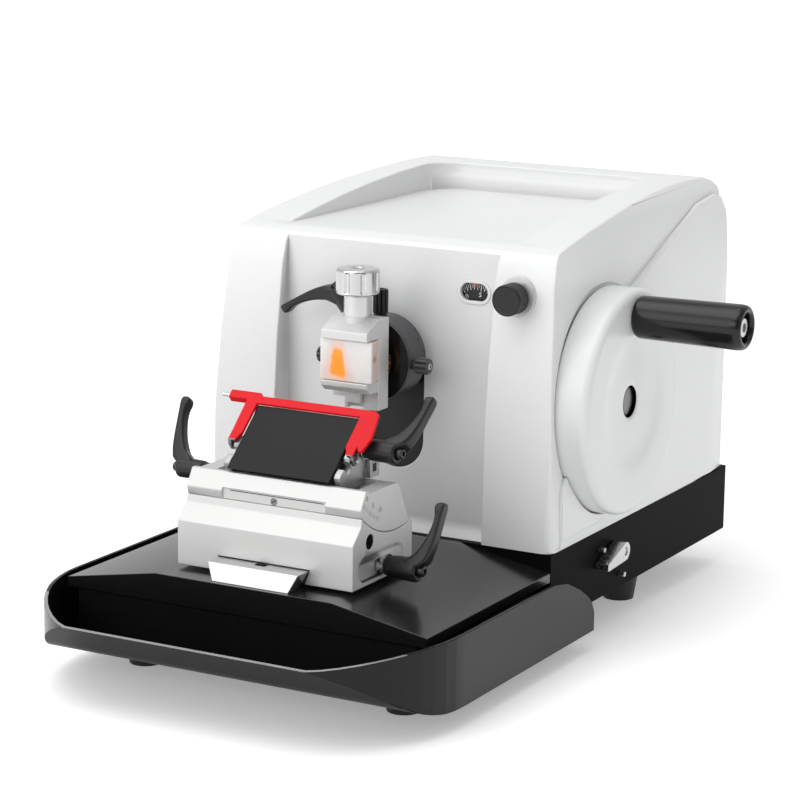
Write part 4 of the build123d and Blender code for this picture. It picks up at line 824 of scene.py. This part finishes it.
# slotted grub screw in the middle of the segment's front
MG = basis((XC, -139.93, 124.6), (0, -1, 0), (1, 0, 0))
bm = bmesh.new()
turned(bm, [(-1.5, 2.6), (0.0, 2.6), (0.16, 2.4), (0.16, 0.05)], n=48, mtx=MG, cap=False)
mesh_obj("grub_screw_v", bm, "steel_dark", "segment", smooth=35.0)
# painted shade: a thin black bar on the screw's face stands for the dark inside of its slot
bm = bmesh.new()
block(bm, (-2.1, -0.35, 0.0), (2.1, 0.35, 0.22), mtx=MG @ Matrix.Rotation(math.radians(35), 4, "Z"))
mesh_obj("grub_slot_v", bm, "black_matte", "segment", smooth=35.0)
# painted shadow: a thin black strip across the segment's front under the bar's overhanging lower edge
bm = bmesh.new()
block(bm, (XC - 33.0, -140.15, 127.75), (XC + 37.0, -139.4, 128.25))
for v in bm.verts:
    v.co = D(*v.co)
mesh_obj("segment_shadow_strip_v", bm, "black_matte", "segment", smooth=35.0)
# long pocket round the lever slot in the right end of the base
bm = bmesh.new()
obround(bm, BX1 - 3.0, BX1 + 3.0, -136.8, -95.3, 88.5, 8.5)
for v in bm.verts:
    if v.co.x < D(BX1, 0, 0).x:
        k_ = (D(0, -85.0, 0).y - v.co.y) / 0.0603
        v.co.x = D(BX1, 0, 0).x - max(0.00002, 0.0032 * k_)
carve(PIECE["holder_base"], bm, "steel_satin")


def pocket_wall(c, n_):
    lo, hi = D(BX1 - 3.4, -146.5, 79.0), D(BX1 - 0.02, -85.5, 98.2)
    return abs(n_.x) < 0.5 and lo.x < c.x < hi.x and lo.y < c.y < hi.y and lo.z < c.z < hi.z


# painted shade: the pocket's side walls take the darker steel, so the pocket's outline reads deep
split_material(PIECE["holder_base"], "steel_dark", pocket_wall)
# the clearance-angle graduations
bm = bmesh.new()
for i in range(11):
    t = math.radians(-5 + i) * 1.0
    rad = 62.0
    ang0 = math.atan2(131.0 - KE[1], -137.0 - KE[0])
    a_ = ang0 + math.radians(2.0 * i)
    cy_, cz_ = KE[0] + rad * math.cos(a_), KE[1] + rad * math.sin(a_)
    Mg = basis((BX1 - 0.2, cy_, cz_), (1, 0, 0), (0, -math.sin(a_), math.cos(a_)))
    ln = 3.4 if i % 5 == 0 else 2.2
    # local y is then along the radius
    block(bm, (-0.17, -ln / 2, -0.1), (0.17, ln / 2, 0.03), mtx=Mg)
    if i % 5 == 0:
        Mt = basis((BX1 - 0.2, KE[0] + (rad - 5.6) * math.cos(a_), KE[1] + (rad - 5.6) * math.sin(a_)), (1, 0, 0), (0, 1, 0.12))
        text_mesh(bm, str(i), 4.6, Mt, 0.06)
mesh_obj("angle_marks_v", bm, "dark_ink", "segment", smooth=35.0)
# small ring mark moulded in the end of the cassette
bm = bmesh.new()
MR = basis((XC + 19.6, -45.6, 203.5), (1, 0, 0), (0, 1, 0))
turned(bm, [(-0.2, 2.1), (0.10, 2.1), (0.14, 1.85), (0.10, 1.6), (-0.2, 1.6)], n=40, mtx=MR, cap=False)
turned(bm, [(-0.2, 0.7), (0.12, 0.7), (0.12, 0.05)], n=24, mtx=MR, cap=False)
mesh_obj("cassette_ring_v", bm, "dark_peach", "yaw", smooth=35.0)

# ------------------------------------------------------------------ floor, light, camera
def floor():
    bm = bmesh.new()
    bmesh.ops.create_grid(bm, x_segments=24, y_segments=24, size=30.0)
    me = bpy.data.meshes.new("floor"); bm.to_mesh(me); bm.free()
    ob = bpy.data.objects.new("floor", me); COLL.objects.link(ob)
    fm = mat("floor_white", (0.90, 0.90, 0.90), 0.6, mottle=(2.0, 0.01), grain=(40.0, 0.05), bump=(300.0, 0.02, 0.0002), spec=0.1)
    fb = fm.node_tree.nodes["Principled BSDF"]
    fb.inputs["Emission Color"].default_value = (1, 1, 1, 1); fb.inputs["Emission Strength"].default_value = 0.30
    me.materials.append(fm)
    ob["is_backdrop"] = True


floor()


def area(name, loc, target, size, power, col=(1, 1, 1), size_y=None):
    l = bpy.data.lights.new(name, "AREA"); l.energy = power; l.color = col
    l.shape = "RECTANGLE"; l.size = size; l.size_y = size_y or size
    ob = bpy.data.objects.new(name, l); COLL.objects.link(ob)
    ob.location = loc
    ob.rotation_euler = (Vector(target) - Vector(loc)).to_track_quat("-Z", "Y").to_euler()
    return ob


area("top_box", (-0.3, -0.3, 2.2), (0, 0, 0.1), 2.0, 16.0)
area("left_box", (-1.5, -2.2, 1.2), (0, 0, 0.15), 1.6, 13.0, size_y=1.6)
area("right_box", (2.4, -0.2, 1.5), (0, 0, 0.15), 1.0, 3.0, size_y=1.2)
area("front_box", (-0.2, -2.8, 1.4), (0, 0, 0.14), 1.4, 9.0, size_y=1.0)
sun = bpy.data.lights.new("sun", "SUN"); sun.energy = 0.55; sun.angle = math.radians(50)
so = bpy.data.objects.new("sun", sun); COLL.objects.link(so); so.rotation_euler = Vector((0.35, 0.45, -1.0)).to_track_quat("-Z", "Y").to_euler()

w = bpy.data.worlds.new("studio"); bpy.context.scene.world = w; w.use_nodes = True
wn = w.node_tree; bg = wn.nodes["Background"]
tcw = wn.nodes.new("ShaderNodeTexCoord"); sep = wn.nodes.new("ShaderNodeSeparateXYZ"); rw = wn.nodes.new("ShaderNodeValToRGB")
wn.links.new(tcw.outputs["Generated"], sep.inputs[0]); wn.links.new(sep.outputs["Z"], rw.inputs[0])


def world_dim(axis, lo, hi, low):
    """Soft darkening of the studio towards one direction."""
    vd = wn.nodes.new("ShaderNodeVectorMath"); vd.operation = "DOT_PRODUCT"
    vd.inputs[1].default_value = Vector(axis).normalized()
    wn.links.new(tcw.outputs["Generated"], vd.inputs[0])
    mr_ = wn.nodes.new("ShaderNodeMapRange"); mr_.interpolation_type = "SMOOTHSTEP"
    mr_.inputs["From Min"].default_value = lo; mr_.inputs["From Max"].default_value = hi
    mr_.inputs["To Min"].default_value = 1.0; mr_.inputs["To Max"].default_value = low
    wn.links.new(vd.outputs["Value"], mr_.inputs["Value"])
    return mr_.outputs["Result"]


wm = wn.nodes.new("ShaderNodeMath"); wm.operation = "MULTIPLY"
wn.links.new(world_dim((0.55, -0.80, 0.22), 0.60, 0.97, 0.42), wm.inputs[0])
wn.links.new(world_dim((1.0, 0.12, 0.0), 0.25, 0.95, 0.60), wm.inputs[1])
wmix = wn.nodes.new("ShaderNodeVectorMath"); wmix.operation = "SCALE"
wn.links.new(rw.outputs[0], wmix.inputs[0]); wn.links.new(wm.outputs[0], wmix.inputs["Scale"])
wn.links.new(wmix.outputs[0], bg.inputs[0])
rw.color_ramp.elements[0].position = 0.0; rw.color_ramp.elements[0].color = (0.92, 0.92, 0.93, 1)
rw.color_ramp.elements[1].position = 1.0; rw.color_ramp.elements[1].color = (0.80, 0.80, 0.81, 1)
bg.inputs[1].default_value = 0.88

sc = bpy.context.scene
sc.view_settings.view_transform = "Standard"
sc.view_settings.look = "None"
cam = bpy.data.cameras.new("cam"); co = bpy.data.objects.new("cam", cam); COLL.objects.link(co)
R = Vector((0.8756, 0.4829, 0.0131)).normalized()
Fw = Vector((-0.4698, 0.8573, -0.2105)).normalized()
Uv = R.cross(Fw).normalized(); R = Fw.cross(Uv).normalized()
mtx = Matrix((( R.x, Uv.x, -Fw.x, 0.8641), (R.y, Uv.y, -Fw.y, -1.6432), (R.z, Uv.z, -Fw.z, 0.5632), (0, 0, 0, 1)))
co.matrix_world = mtx
cam.lens = 125.24; cam.sensor_width = 36.0; cam.sensor_fit = "HORIZONTAL"
cam.clip_start = 0.01; cam.clip_end = 200.0
cam.dof.use_dof = False
sc.camera = co

{"cad": CAD_BOX, "visual": as_lists(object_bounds())}
